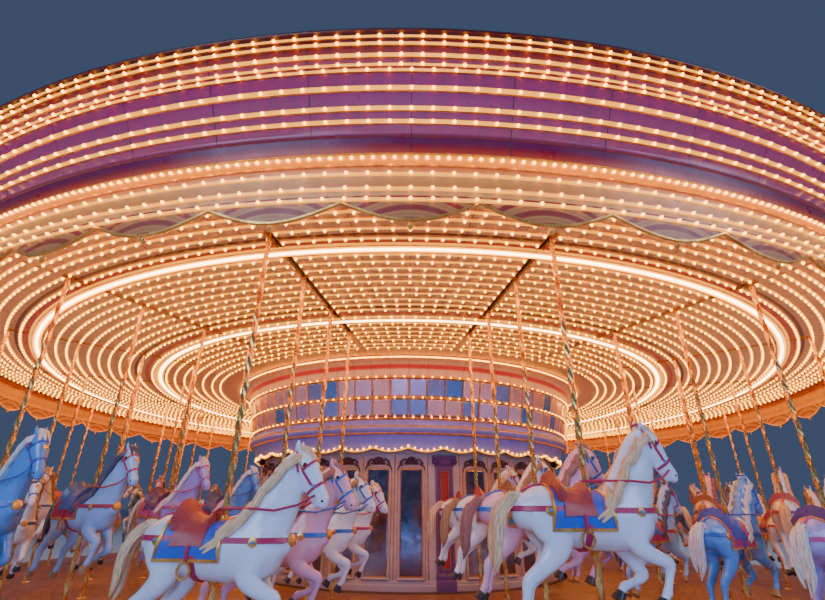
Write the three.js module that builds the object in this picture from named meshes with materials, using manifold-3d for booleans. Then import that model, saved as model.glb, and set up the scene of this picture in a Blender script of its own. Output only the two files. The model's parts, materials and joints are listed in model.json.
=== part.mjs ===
// A fairground carousel with eighteen ranks of four rising horses, in millimetres, +Z up.
// The origin is on the ground on the turning axis. Angles are degrees from -Y, towards +X.
import * as THREE from "three";
import { mergeVertices } from "three/addons/utils/BufferGeometryUtils.js";
import Module from "manifold-3d";

const wasm = await Module();
wasm.setup();

// Driving dimensions
const hoopRadius = 7000; // the brightest hoop of lamps under the ceiling
const middleHoopRadius = 5210;
const rimRadius = 8630; // the crown's outermost edge
const ceilingUnderside = 3750;
const deckTop = 400;
const ranks = 18; // spokes of horses, evenly spaced
const rowRadii = [7320, 6480, 5600, 4800]; // the poles of one rank, outermost first
const firstRank = 10; // degrees from the front to the first rank
const travel = 200; // how far a horse rises and falls
const seam = 0.3; // the gap between pieces that touch
const fullTurn = 360;
const facets = 36; // flat sides of every large ring
const rankAngle = fullTurn / ranks;
const sector = 120; // degrees of one section of deck, ceiling, crown or roof
const sectors = fullTurn / sector;

// Fixed middle
const baseRadius = 7900;
const baseTop = 100;
const trackInner = 5950;
const trackOuter = 6110;
const trackTop = 150;
const plinthRadius = 3060;
const plinthTop = 420;
const wallRadius = 3000;
const wallThickness = 60;
const wallTop = 2700;
const bay = 10; // degrees of one mirror or pilaster
const wallModule = 90; // one pilaster and eight mirrors
const firstPilaster = 11;
const mastRadius = 200;
const collarTop = 3800;

// Turning frame
const hubRadius = 430;
const hubTop = 6520;
const ceilingThickness = 40;
const ceilingRadius = 8180;
const crownFoot = 3700;
const crownTop = 4590;
const eaveInner = 8480;
const eaveOuter = 8540;
const deckInner = 3110;
const deckOuter = 8150;
const deckThickness = 70;
const deckUnderside = deckTop - deckThickness;
const poleRadius = 25;

const finishes = {
  cream: { color: 0xd9b79a, roughness: 0.55, metalness: 0 },
  tan: { color: 0xb98a68, roughness: 0.6, metalness: 0 },
  mauve: { color: 0x74407a, roughness: 0.45, metalness: 0 },
  gold: { color: 0xd99a3a, roughness: 0.3, metalness: 0.9 },
  timber: { color: 0x8a5a3c, roughness: 0.6, metalness: 0 },
  enamel: { color: 0xc9d6ea, roughness: 0.3, metalness: 0 },
  steel: { color: 0x5c6068, roughness: 0.5, metalness: 0.8 },
  mirror: { color: 0xaab4cc, roughness: 0.08, metalness: 1 },
  canvas: { color: 0x5a3a86, roughness: 0.8, metalness: 0 },
};

const radians = (degrees) => (degrees * Math.PI) / 180;

// A closed geometry as a solid that can be joined and cut.
function solidOf(geometry) {
  const bare = geometry.index ? geometry.toNonIndexed() : geometry.clone();
  bare.deleteAttribute("normal");
  bare.deleteAttribute("uv");
  const merged = mergeVertices(bare, 1e-2);
  return new wasm.Manifold(
    new wasm.Mesh({
      numProp: 3,
      vertProperties: new Float32Array(merged.attributes.position.array),
      triVerts: new Uint32Array(merged.index.array),
    }),
  );
}

// A joined or cut solid as a geometry.
function geometryOf(solid) {
  const made = solid.getMesh();
  const geometry = new THREE.BufferGeometry();
  const corners = new Float32Array(made.numVert * 3);
  for (let i = 0; i < made.numVert; i++) {
    corners.set(made.vertProperties.subarray(i * made.numProp, i * made.numProp + 3), i * 3);
  }
  geometry.setAttribute("position", new THREE.BufferAttribute(corners, 3));
  geometry.setIndex(new THREE.BufferAttribute(made.triVerts, 1));
  geometry.computeVertexNormals();
  return geometry;
}

const joined = (solids) => solids.reduce((whole, piece) => whole.add(piece));

// A ring of flat facets round the axis. The outline is [radius, height] pairs, anticlockwise.
function ring(outline, sides = facets) {
  const closed = [...outline, outline[0]].map(([r, z]) => new THREE.Vector2(r, z));
  return new THREE.LatheGeometry(closed, sides).rotateX(Math.PI / 2);
}

// A turned piece whose outline begins and ends on the axis.
function turned(outline, sides = facets) {
  const points = outline.map(([r, z]) => new THREE.Vector2(r, z));
  return new THREE.LatheGeometry(points, sides).rotateX(Math.PI / 2);
}

// A ring whose lowest edge hangs in scallops.
function scallopedRing(outline, scallops, depth) {
  const geometry = ring(outline, 2 * scallops);
  const lowest = Math.min(...outline.map(([, z]) => z));
  const corners = geometry.attributes.position;
  for (let i = 0; i < corners.count; i++) {
    if (corners.getZ(i) - lowest < seam) {
      const share = (Math.atan2(corners.getY(i), corners.getX(i)) / 2 / Math.PI) * scallops;
      corners.setZ(i, lowest - depth * Math.abs(Math.sin(Math.PI * share)));
    }
  }
  return geometry;
}

const onCircle = (radius, angle) =>
  new THREE.Vector2(radius * Math.sin(radians(angle)), -radius * Math.cos(radians(angle)));

// The slice of a ring between two angles, less half a seam on each side.
function slice(solid, from, to) {
  const far = 2 * rimRadius;
  const inset = onCircle(seam / 2 / Math.sin(radians((to - from) / 2)), (from + to) / 2);
  const corners = [0, 0.25, 0.5, 0.75, 1].map((share) =>
    onCircle(far, from + (to - from) * share).add(inset),
  );
  const shape = new THREE.Shape([inset, ...corners]);
  const wedge = new THREE.ExtrudeGeometry(shape, { depth: far, bevelEnabled: false });
  return solid.intersect(solidOf(wedge));
}

// A box that stands radially out from the axis at an angle, centred across.
function radialBox(inner, outer, width, bottom, top, angle = 90) {
  const box = new THREE.BoxGeometry(outer - inner, width, top - bottom);
  box.translate((inner + outer) / 2, 0, (bottom + top) / 2);
  return box.rotateZ(radians(angle - 90));
}

// An upright six-sided bar in the frame of one rank, where +X points out.
function upright(x, bottom, top, radius) {
  const geometry = new THREE.CylinderGeometry(radius, radius, top - bottom, 6);
  geometry.rotateX(Math.PI / 2);
  return geometry.translate(x, 0, (bottom + top) / 2);
}

const carousel = new THREE.Group();

function place(name, geometry, finish, parent = carousel) {
  const mesh = new THREE.Mesh(geometry, new THREE.MeshStandardMaterial(finish));
  mesh.name = name;
  parent.add(mesh);
}

function placeSectors(name, solid, finish) {
  for (let j = 0; j < sectors; j++) {
    const cut = slice(solid, sector * (j - 0.5), sector * (j + 0.5));
    place(`${name}_${j + 1}`, geometryOf(cut), finish);
  }
}

// Fixed middle: base, running track, plinth, mast and the wall of mirrors
function disc(radius, bottom, top) {
  return turned([
    [0, bottom],
    [radius, bottom],
    [radius, top],
    [0, top],
  ]);
}

function runningTrack() {
  return ring([
    [trackInner, baseTop + seam],
    [trackOuter, baseTop + seam],
    [trackOuter, trackTop],
    [trackInner, trackTop],
  ]);
}

function mast() {
  const collarRadius = 380;
  const collarHeight = 100;
  const top = 6300;
  const sides = 12;
  return turned(
    [
      [0, plinthTop + seam],
      [mastRadius, plinthTop + seam],
      [mastRadius, collarTop - collarHeight],
      [collarRadius, collarTop - collarHeight],
      [collarRadius, collarTop],
      [mastRadius, collarTop],
      [mastRadius, top],
      [0, top],
    ],
    sides,
  );
}

const bayFace = wallRadius * Math.cos(radians(bay / 2)); // a bay's flat face, from the axis
const letIn = 10; // how far a frame or pilaster is let into the wall

// A tall frame round a mirror, with a shell pediment, standing on a bay's flat face.
function mirrorFrame(angle) {
  const width = 420;
  const border = 60;
  const bottom = 560;
  const glassTop = 2067;
  const proud = 50;
  const setBack = 20;
  const pedimentWidth = 320;
  const pedimentHeight = 110;
  const arcSteps = 4;
  const top = glassTop + border;
  const body = solidOf(radialBox(bayFace - letIn, bayFace + proud, width, bottom, top));
  const glass = radialBox(
    bayFace + setBack,
    bayFace + 2 * proud,
    width - 2 * border,
    bottom + border,
    glassTop,
  );
  const arch = new THREE.Shape();
  arch.moveTo(-pedimentWidth / 2, -letIn);
  arch.lineTo(pedimentWidth / 2, -letIn);
  for (let step = 0; step <= arcSteps; step++) {
    const turn = (Math.PI * step) / arcSteps;
    arch.lineTo((pedimentWidth / 2) * Math.cos(turn), pedimentHeight * Math.sin(turn));
  }
  const pediment = new THREE.ExtrudeGeometry(arch, { depth: proud, bevelEnabled: false });
  pediment.rotateX(Math.PI / 2).rotateZ(Math.PI / 2);
  pediment.translate(bayFace - letIn, 0, top);
  const made = body.subtract(solidOf(glass)).add(solidOf(pediment));
  return made.rotate([0, 0, angle - 90]);
}

// One pilaster with a foot, a sunk panel and a wide scrolled capital.
function pilaster(angle) {
  const width = 280;
  const capitalWidth = 400;
  const panelWidth = 120;
  const proud = 60;
  const sunk = 15;
  const foot = plinthTop + seam;
  const footTop = 640;
  const capitalBottom = 2120;
  const capitalTop = 2290;
  const parts = [
    radialBox(bayFace - letIn, bayFace + proud - sunk, width, foot, capitalTop - sunk),
    radialBox(bayFace - letIn, bayFace + proud, width + sunk, foot, footTop),
    radialBox(bayFace - letIn, bayFace + proud, capitalWidth, capitalBottom, capitalTop),
  ];
  const panel = radialBox(
    bayFace + proud - 2 * sunk,
    bayFace + 2 * proud,
    panelWidth,
    footTop + proud,
    capitalBottom - proud,
  );
  const made = joined(parts.map(solidOf)).subtract(solidOf(panel));
  return made.rotate([0, 0, angle - 90]);
}

function mirrorWall() {
  const start = firstPilaster - bay / 2;
  const outline = [
    [wallRadius - wallThickness, plinthTop + seam],
    [wallRadius, plinthTop + seam],
    [wallRadius, wallTop],
    [wallRadius - wallThickness, wallTop],
  ];
  const wall = solidOf(ring(outline).rotateZ(radians(start)));
  for (let j = 0; j < fullTurn / wallModule; j++) {
    const from = start + wallModule * j;
    let panel = slice(wall, from, from + wallModule).add(pilaster(from + bay / 2));
    for (let step = 1; step < wallModule / bay; step++) {
      panel = panel.add(mirrorFrame(from + bay / 2 + bay * step));
    }
    place(`wall_panel_${j + 1}`, geometryOf(panel), finishes.cream);
  }
}

function fixedMiddle() {
  place("base_platform", disc(baseRadius, 0, baseTop), finishes.steel);
  place("running_track", runningTrack(), finishes.steel);
  place("plinth", disc(plinthRadius, baseTop + seam, plinthTop), finishes.timber);
  place("mast", mast(), finishes.steel);
  mirrorWall();
}

// Turning frame: hub, ceiling, lamp hoops, crown, hanging valance, roof and finial
function hub() {
  const bore = 230;
  return ring([
    [bore, collarTop + seam],
    [hubRadius, collarTop + seam],
    [hubRadius, hubTop],
    [bore, hubTop],
  ]);
}

// The flat ceiling, with a slot at each rank in which its poles slide.
function ceiling() {
  const guideGap = 0.5;
  const overrun = 60;
  const inner = hubRadius + seam;
  const top = ceilingUnderside + ceilingThickness;
  let plate = solidOf(
    ring([
      [inner, ceilingUnderside],
      [ceilingRadius, ceilingUnderside],
      [ceilingRadius, top],
      [inner, top],
    ]),
  );
  for (let k = 0; k < ranks; k++) {
    const slot = radialBox(
      rowRadii.at(-1) - overrun,
      rowRadii[0] + overrun,
      2 * (poleRadius + guideGap),
      ceilingUnderside - overrun,
      top + overrun,
      firstRank + rankAngle * k,
    );
    plate = plate.subtract(solidOf(slot));
  }
  return plate;
}

function lampHoop(radius) {
  const halfWidth = 55;
  const depth = 45;
  const top = ceilingUnderside - seam;
  return ring([
    [radius - halfWidth, top - depth],
    [radius + halfWidth, top - depth],
    [radius + halfWidth, top],
    [radius - halfWidth, top],
  ]);
}

// The boards that lean out round the rim, with a lamp ledge below and a narrow lip above.
function crown() {
  return ring([
    [8110, crownFoot],
    [8200, crownFoot],
    [8260, 3950],
    [rimRadius, 4525],
    [rimRadius - 5, 4545],
    [8560, crownTop],
    [eaveInner, crownTop],
    [ceilingRadius + seam, 4000],
    [ceilingRadius + seam, ceilingUnderside - seam],
    [8110, ceilingUnderside - seam],
  ]);
}

function rimValance() {
  const outer = 8190;
  const thickness = 25;
  const cusp = 3400;
  const scallops = 54;
  const depth = 145;
  const outline = [
    [outer - thickness, cusp],
    [outer, cusp],
    [outer, crownFoot - seam],
    [outer - thickness, crownFoot - seam],
  ];
  return scallopedRing(outline, scallops, depth);
}

function roof() {
  const edge = 50;
  const foot = crownTop + seam;
  return ring([
    [eaveInner, foot],
    [eaveOuter, foot],
    [eaveOuter, foot + edge],
    [hubRadius + seam, hubTop],
    [hubRadius + seam, hubTop - edge],
  ]);
}

function finial() {
  const foot = hubTop + seam;
  const sides = 12;
  const outline = [
    [0, 0],
    [560, 0],
    [520, 90],
    [240, 150],
    [330, 400],
    [290, 540],
    [110, 680],
    [60, 1000],
    [0, 1080],
  ];
  return turned(
    outline.map(([r, z]) => [r, foot + z]),
    sides,
  );
}

// Turning drum round the fixed middle: cove, mirror band, cornice and scalloped hem
const drumThickness = 59;
const coveBottom = 3440;
const bandBottom = 2830;
const corniceBottom = 2569;
const bandTopRadius = 3479;
const bandFootRadius = 3339;
const hemTopRadius = 3290;

function drumCove() {
  const top = ceilingUnderside - seam;
  const lip = 3695;
  return ring([
    [bandTopRadius - drumThickness, coveBottom],
    [bandTopRadius, coveBottom],
    [3500, 3560],
    [3560, 3660],
    [3630, 3715],
    [lip, 3715],
    [lip, top],
    [bandTopRadius - drumThickness, top],
  ]);
}

function drumMirrorBand() {
  return ring([
    [bandFootRadius - drumThickness, bandBottom],
    [bandFootRadius, bandBottom],
    [bandTopRadius, coveBottom - seam],
    [bandTopRadius - drumThickness, coveBottom - seam],
  ]);
}

function drumCornice() {
  return ring([
    [hemTopRadius - drumThickness, corniceBottom],
    [hemTopRadius + 50, corniceBottom],
    [bandFootRadius + 45, 2640],
    [bandFootRadius + 15, 2718],
    [bandFootRadius, bandBottom - seam],
    [bandFootRadius - drumThickness, bandBottom - seam],
  ]);
}

function drumHem() {
  const outer = 3210;
  const bottom = 2385;
  const scallops = facets;
  const depth = 55;
  const outline = [
    [outer - drumThickness, bottom],
    [outer, bottom],
    [hemTopRadius, corniceBottom - seam],
    [hemTopRadius - drumThickness, corniceBottom - seam],
  ];
  return scallopedRing(outline, scallops, depth);
}

// The bearer under the deck, which runs over the track.
function deckBearer() {
  return ring([
    [trackInner, trackTop + seam],
    [trackOuter, trackTop + seam],
    [trackOuter, deckUnderside - seam],
    [trackInner, deckUnderside - seam],
  ]);
}

function deckSkirt() {
  const foot = 60;
  const thickness = 50;
  return ring([
    [deckOuter - thickness, foot],
    [deckOuter, foot],
    [deckOuter, deckUnderside - seam],
    [deckOuter - thickness, deckUnderside - seam],
  ]);
}

// The deck's boards, with a hole at each pole.
function deck() {
  const clearance = 7;
  let boards = solidOf(
    ring([
      [deckInner, deckUnderside],
      [deckOuter, deckUnderside],
      [deckOuter, deckTop],
      [deckInner, deckTop],
    ]),
  );
  const reach = poleRadius + clearance;
  for (let k = 0; k < ranks; k++) {
    for (const radius of rowRadii) {
      const angle = firstRank + rankAngle * k;
      const hole = radialBox(radius - reach, radius + reach, 2 * reach, 0, 2 * deckTop, angle);
      boards = boards.subtract(solidOf(hole));
    }
  }
  return boards;
}

// Horses
const horseLength = 1500;
const smallestHorse = 0.82; // the inner row's size against the outer row's
const barrelHeight = 950; // a horse's barrel above the deck at mid travel
const barHeight = 4000; // the crank bar's middle at mid travel
const poleFoot = 265; // the pole's lower end at mid travel, clear of the track when it is down

// The side view of a jumping horse, in shares of its length from the pole at the barrel.
const horseOutline = [
  [0.48, 0.2], // muzzle
  [0.36, 0.42], // poll
  [0.12, 0.14], // withers
  [-0.02, 0.1], // saddle
  [-0.26, 0.15], // croup
  [-0.5, -0.16], // tail
  [-0.35, -0.06], // buttock
  [-0.42, -0.4], // hind hoofs
  [-0.2, -0.13], // flank
  [0.12, -0.14], // girth
  [0.3, -0.34], // fore hoofs
  [0.29, -0.02], // chest
  [0.35, 0.19], // throat
];

function horse(size) {
  const halfWidth = 165 * size;
  const narrow = 0.38; // width of the head, hoofs and tail against the barrel
  const nearPole = 0.16;
  const farFromPole = 0.42;
  const length = horseLength * size;
  const shape = new THREE.Shape(
    horseOutline.map(([y, z]) => new THREE.Vector2(y * length, z * length)),
  );
  const geometry = new THREE.ExtrudeGeometry(shape, { depth: 2 * halfWidth, bevelEnabled: false });
  geometry.translate(0, 0, -halfWidth);
  const corners = geometry.attributes.position;
  for (let i = 0; i < corners.count; i++) {
    const reach = Math.hypot(corners.getX(i), corners.getY(i)) / length;
    const share = 1 - (1 - narrow) * THREE.MathUtils.smoothstep(reach, nearPole, farFromPole);
    corners.setZ(i, corners.getZ(i) * share);
  }
  geometry.rotateX(Math.PI / 2).rotateZ(Math.PI / 2);
  return solidOf(geometry);
}

// One rank: its crank bar above the ceiling, four poles and four horses.
function rank(lift) {
  const barWidth = 60;
  const halfBar = 25;
  const overhang = 90;
  const inner = rowRadii.at(-1) - overhang;
  const outer = rowRadii[0] + overhang;
  const bar = radialBox(inner, outer, barWidth, barHeight - halfBar, barHeight + halfBar);
  const solids = [solidOf(bar)];
  rowRadii.forEach((radius, i) => {
    const size = 1 - ((1 - smallestHorse) * i) / (rowRadii.length - 1);
    solids.push(solidOf(upright(radius, poleFoot, barHeight, poleRadius)));
    solids.push(horse(size).translate([radius, 0, deckTop + barrelHeight]));
  });
  return geometryOf(joined(solids).translate([0, 0, lift]));
}

function horseRanks() {
  const high = rank(travel / 2);
  const low = rank(-travel / 2);
  for (let k = 0; k < ranks; k++) {
    const spoke = new THREE.Group();
    spoke.rotation.z = radians(firstRank + rankAngle * k - 90);
    carousel.add(spoke);
    const number = String(k + 1).padStart(2, "0");
    place(`horse_rank_${number}`, k % 2 === 0 ? high : low, finishes.enamel, spoke);
  }
}

fixedMiddle();
place("hub", hub(), finishes.steel);
placeSectors("ceiling", ceiling(), finishes.tan);
placeSectors("deck", deck(), finishes.timber);
place("deck_bearer", deckBearer(), finishes.steel);
place("deck_skirt", deckSkirt(), finishes.mauve);
place("lamp_hoop_outer", lampHoop(hoopRadius), finishes.gold);
place("lamp_hoop_middle", lampHoop(middleHoopRadius), finishes.gold);
placeSectors("crown", solidOf(crown()), finishes.mauve);
placeSectors("rim_valance", solidOf(rimValance()), finishes.mauve);
place("drum_cove", drumCove(), finishes.cream);
place("drum_mirror_band", drumMirrorBand(), finishes.mirror);
place("drum_cornice", drumCornice(), finishes.mauve);
place("drum_hem", drumHem(), finishes.mauve);
placeSectors("roof", solidOf(roof()), finishes.canvas);
place("finial", finial(), finishes.gold);
horseRanks();

export default carousel;
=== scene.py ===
import json
from math import atan2, cos, degrees, exp, hypot, pi, radians, sin
import bpy
import numpy as np
from mathutils import Matrix, Vector
from mathutils.bvhtree import BVHTree

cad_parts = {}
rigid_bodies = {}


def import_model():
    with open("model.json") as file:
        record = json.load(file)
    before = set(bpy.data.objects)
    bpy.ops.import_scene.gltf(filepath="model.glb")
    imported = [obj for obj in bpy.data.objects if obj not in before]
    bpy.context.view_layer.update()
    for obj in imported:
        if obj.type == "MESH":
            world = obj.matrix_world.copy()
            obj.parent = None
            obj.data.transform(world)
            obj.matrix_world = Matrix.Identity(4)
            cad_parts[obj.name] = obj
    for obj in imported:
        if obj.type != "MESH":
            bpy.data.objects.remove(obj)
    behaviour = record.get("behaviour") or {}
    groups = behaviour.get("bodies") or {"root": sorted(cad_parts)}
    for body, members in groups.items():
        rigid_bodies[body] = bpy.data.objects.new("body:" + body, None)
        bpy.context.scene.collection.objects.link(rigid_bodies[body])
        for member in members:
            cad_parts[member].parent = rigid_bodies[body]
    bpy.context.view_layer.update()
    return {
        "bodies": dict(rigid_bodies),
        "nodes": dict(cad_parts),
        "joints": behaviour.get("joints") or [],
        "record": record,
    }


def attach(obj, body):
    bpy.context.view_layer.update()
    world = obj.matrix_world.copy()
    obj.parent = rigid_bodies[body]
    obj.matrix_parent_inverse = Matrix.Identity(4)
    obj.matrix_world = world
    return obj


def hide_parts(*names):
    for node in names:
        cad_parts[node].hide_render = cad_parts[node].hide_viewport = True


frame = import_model()
nodes = frame["nodes"]
print("stage: frame loaded")

# sizes shared by several pieces, in metres and degrees; angles run from -Y towards +X
ceilingZ = 3.75  # the boards' underside
rankCount = 18
rankStep = 360 / rankCount
rankAngles = [10.0 + rankStep * k for k in range(rankCount)]
rowRadii = (7.32, 6.48, 5.6, 4.8)  # the four horses of a rank
travel = 0.2  # from a horse's lowest place to its highest
lampPitch = 0.152
slotHalf = 0.05  # half the gap that rails leave for a slot
railTop = 3.7496  # just under the ceiling
ringSegments = 216  # facets of a smooth ring


def addLinked(name, data):
    made = bpy.data.objects.new(name, data)
    bpy.context.scene.collection.objects.link(made)
    return made


# camera: a 20 mm lens just outside the ride, looking up
camera = {"place": (0.0, -10.738, 1.5), "pitch": 24.54, "roll": 0.53, "lens": 20.0, "axisX": 409.7, "width": 825}


def makeCamera():
    data = bpy.data.cameras.new("camera")
    data.lens = camera["lens"]
    data.sensor_width = 36.0
    data.clip_end = 900
    data.shift_x = 0.5 - camera["axisX"] / camera["width"]
    eye = addLinked("camera", data)
    eye.location = camera["place"]
    eye.rotation_euler = (pi / 2 + radians(camera["pitch"]), 0, 0)
    eye.rotation_euler.rotate_axis("Z", radians(camera["roll"]))
    bpy.context.scene.camera = eye


# studio: a pale floor, a soft sky and four large lamps, each with its place, size, power and colour
studio = {
    "floor": (0.58, 0.6, 0.66), "floorRoughness": 0.8, "floorSize": 500.0,
    "sky": (0.2, 0.3, 0.56), "skyStrength": 0.26, "aim": (0, 0, 2.5),
    "lamps": {"keyLamp": ((-12, -26, 14), 13, 2600, (0.55, 0.72, 1.0)),
              "lowLamp": ((0, -24, 2.6), 5, 1500, (0.2, 0.42, 1.0)),
              "fillLamp": ((20, -18, 13), 11, 1500, (0.6, 0.7, 1.0)),
              "rimLamp": ((4, 26, 20), 14, 3200, (0.75, 0.85, 1.0))}}


def makeStudio():
    world = bpy.data.worlds.new("studio")
    bpy.context.scene.world = world
    world.use_nodes = True
    sky = world.node_tree.nodes["Background"]
    sky.inputs["Color"].default_value = (*studio["sky"], 1)
    sky.inputs["Strength"].default_value = studio["skyStrength"]
    half = studio["floorSize"] / 2
    mesh = bpy.data.meshes.new("floor")
    mesh.from_pydata([(-half, -half, 0), (half, -half, 0), (half, half, 0), (-half, half, 0)], [], [(0, 1, 2, 3)])
    paint = bpy.data.materials.new("floorPaint")
    paint.use_nodes = True
    shader = paint.node_tree.nodes["Principled BSDF"]
    shader.inputs["Base Color"].default_value = (*studio["floor"], 1)
    shader.inputs["Roughness"].default_value = studio["floorRoughness"]
    mesh.materials.append(paint)
    addLinked("floor", mesh)
    for name, (place, size, power, colour) in studio["lamps"].items():
        data = bpy.data.lights.new(name, "AREA")
        data.size = size
        data.energy = power
        data.color = colour
        lamp = addLinked(name, data)
        lamp.visible_glossy = name != "lowLamp"
        lamp.location = place
        aim = Vector(studio["aim"]) - Vector(place)
        lamp.rotation_euler = aim.to_track_quat("-Z", "Y").to_euler()


makeCamera()
makeStudio()
print("stage: camera and studio")


# material tools: a field is a value or a colour worked out over the surface
class Field:
    def __init__(self, finish, socket):
        self.finish = finish
        self.socket = socket

    def work(self, operation, other=0.0):
        return self.finish.field("ShaderNodeMath", 0, {0: self, 1: other}, operation=operation)

    def __add__(self, other):
        return self.work("ADD", other)

    def __sub__(self, other):
        return self.work("SUBTRACT", other)

    def __mul__(self, other):
        return self.work("MULTIPLY", other)

    def __truediv__(self, other):
        return self.work("DIVIDE", other)

    def above(self, level):
        return self.work("GREATER_THAN", level)

    def near(self, centre, half):
        return (self - centre).work("ABSOLUTE").work("LESS_THAN", half)

    # 1 on the lines that lie every step, each as wide as given
    def lines(self, step, width):
        return self.work("PINGPONG", step / 2).work("LESS_THAN", width / 2)

    def span(self, low, high, toLow=0.0, toHigh=1.0):
        numbers = (self, low, high, toLow, toHigh)
        return self.finish.field("ShaderNodeMapRange", 0, dict(enumerate(numbers)))

    # the first colour where the field is 0, the second where it is 1
    def mix(self, first, second, blend="MIX"):
        settings = {"data_type": "RGBA", "blend_type": blend}
        return self.finish.field("ShaderNodeMix", 2, {0: self, 6: first, 7: second}, **settings)

    # a colour with a shade over it that grows to its full strength from low to high
    def stain(self, colour, shade, low, high, strength=1.0):
        return self.span(low, high, 0.0, strength).mix(colour, shade)

    def ramp(self, stops, blend="LINEAR"):
        made = self.finish.node("ShaderNodeValToRGB")
        made.color_ramp.interpolation = blend
        elements = made.color_ramp.elements
        while len(elements) < len(stops):
            elements.new(0.5)
        for element, (place, colour) in zip(elements, stops):
            element.position = place
            element.color = (*colour, 1)
        self.finish.put(made.inputs[0], self)
        return Field(self.finish, made.outputs[0])

    # colours whose places are values of the field
    def bands(self, stops):
        low, high = stops[0][0], stops[-1][0]
        return self.span(low, high).ramp([((place - low) / (high - low), colour) for place, colour in stops])

    # one of the colours, given in per cent, each for its own equal part from 0 to 1
    def pick(self, colours):
        stops = [(i / len(colours), [part / 100 for part in colour]) for i, colour in enumerate(colours)]
        return self.ramp(stops, "CONSTANT")


# one principled shader and the fields that feed it
class Finish:
    def __init__(self, name, roughness=0.5, metallic=0.0):
        self.material = bpy.data.materials.new(name)
        self.material.use_nodes = True
        self.tree = self.material.node_tree
        self.shader = self.tree.nodes["Principled BSDF"]
        self.roughness = roughness
        self.set("Roughness", roughness)
        self.set("Metallic", metallic)
        self.place = self.field("ShaderNodeTexCoord", "Object")

    def node(self, kind, **settings):
        made = self.tree.nodes.new(kind)
        for key, value in settings.items():
            setattr(made, key, value)
        return made

    def put(self, socket, value):
        if isinstance(value, Field):
            self.tree.links.new(value.socket, socket)
        elif isinstance(value, tuple):
            socket.default_value = (*value, 1)
        else:
            socket.default_value = value

    def set(self, name, value):
        self.put(self.shader.inputs[name], value)

    def field(self, kind, output, inputs=None, **settings):
        made = self.node(kind, **settings)
        for key, value in (inputs or {}).items():
            self.put(made.inputs[key], value)
        return Field(self, made.outputs[output])

    def split(self):
        made = self.node("ShaderNodeSeparateXYZ")
        self.put(made.inputs[0], self.place)
        return [Field(self, output) for output in made.outputs]

    def polar(self):
        x, y, z = self.split()
        radius = (x * x + y * y).work("SQRT")
        angle = x.work("ARCTAN2", y * -1.0).work("DEGREES")
        return radius, angle, z

    def vector(self, x, y, z):
        return self.field("ShaderNodeCombineXYZ", 0, {0: x, 1: y, 2: z})

    def noise(self, scale, detail=3.0, rough=0.5, vector=None):
        inputs = {"Vector": vector or self.place, "Scale": scale, "Detail": detail, "Roughness": rough}
        return self.field("ShaderNodeTexNoise", "Fac", inputs)

    def spots(self, scale):
        return self.field("ShaderNodeTexVoronoi", "Distance", {"Vector": self.place, "Scale": scale})

    def cell(self, value):
        return self.field("ShaderNodeTexWhiteNoise", "Value", {"W": value}, noise_dimensions="1D")

    def attribute(self, name, output="Fac"):
        return self.field("ShaderNodeAttribute", output, attribute_name=name)

    # colour, roughness and relief in one, and the material that they make
    def dress(self, colour, roughness, height, strength, distance):
        self.set("Base Color", colour)
        self.set("Roughness", roughness)
        relief = {"Strength": strength, "Distance": distance, "Height": height}
        self.set("Normal", self.field("ShaderNodeBump", 0, relief))
        return self.material

    # paint with faint brush marks, dulled by handling and a little dust
    def painted(self, colour, wear=0.3, marks=7.0):
        cloud, fine, base = self.noise(marks, 5.0, 0.6), self.noise(marks * 9), self.roughness
        dull = cloud.stain(colour, (0.12, 0.08, 0.07), 0.35, 0.75, wear)
        dusty = fine.span(0.3, 0.7, 0.0, 0.12).mix(dull, (1.0, 0.93, 0.85), "SOFT_LIGHT")
        gloss = cloud.span(0.3, 0.7, base * 0.8, min(1.0, base * 1.35))
        return self.dress(dusty, gloss, fine + cloud * 0.6, 0.12, 0.004)


def makeGilt(name="giltLeaf", base=(0.98, 0.54, 0.13), shade=(0.46, 0.18, 0.04), roughness=0.28, metal=0.8):
    finish = Finish(name, roughness, metal)
    cloud, fine = finish.noise(7, 5.0, 0.62), finish.noise(60)
    gloss = (cloud + fine).span(0.7, 1.3, roughness * 0.7, roughness * 1.8)
    return finish.dress(cloud.stain(base, shade, 0.42, 0.78), gloss, fine + cloud, 0.18, 0.003)


def makeGlow(name, bright, deep, strength):
    finish = Finish(name, 0.15)
    glow = finish.noise(4.0, 2.0)
    finish.set("Base Color", glow.mix(bright, deep))
    finish.set("Emission Color", glow.ramp([(0.3, deep), (0.7, bright)]))
    finish.set("Emission Strength", strength)
    return finish.material


# pale amber enamel with a painted glow: it gives off amber light of its own, standing for the lamps' light on rails
# and mouldings
def makeRailPaintedGlow():
    finish = Finish("railPaintedGlow", 0.22)
    cloud, fine = finish.noise(6, 4.0, 0.6), finish.noise(70, 2.0)
    colour = cloud.stain((0.7, 0.34, 0.06), (0.5, 0.18, 0.03), 0.4, 0.75, 0.6)
    # painted glow: emission on a paint that is no lamp
    finish.set("Emission Color", cloud.ramp([(0.35, (1.0, 0.36, 0.0)), (0.65, (0.9, 0.31, 0.0))]))
    finish.set("Emission Strength", 1.7)
    return finish.dress(colour, finish.roughness, fine + cloud, 0.1, 0.003)


def makeTint(name, colour, roughness=0.35, wear=0.3, marks=7.0):
    return Finish(name, roughness).painted(colour, wear, marks)


# paint in bands of height, with seams between boards: (step and width in degrees, colour)
def makeBandPaint(name, stops, roughness=0.32, wear=0.25, marks=8.0, seams=None):
    finish = Finish(name, roughness)
    radius, angle, z = finish.polar()
    colour = z.bands(stops)
    if seams:
        step, width, dark = seams
        colour = angle.lines(step, width).mix(colour, dark)
    return finish.painted(colour, wear, marks)


gilt = makeGilt()
railPaintedGlow = makeRailPaintedGlow()
lampGlass = makeGlow("lampGlass", (1.0, 0.42, 0.01), (1.0, 0.34, 0.0), 10.5)
tubeGlass = makeGlow("hoopTubeGlass", (1.0, 0.70, 0.38), (1.0, 0.62, 0.28), 13.0)


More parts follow.
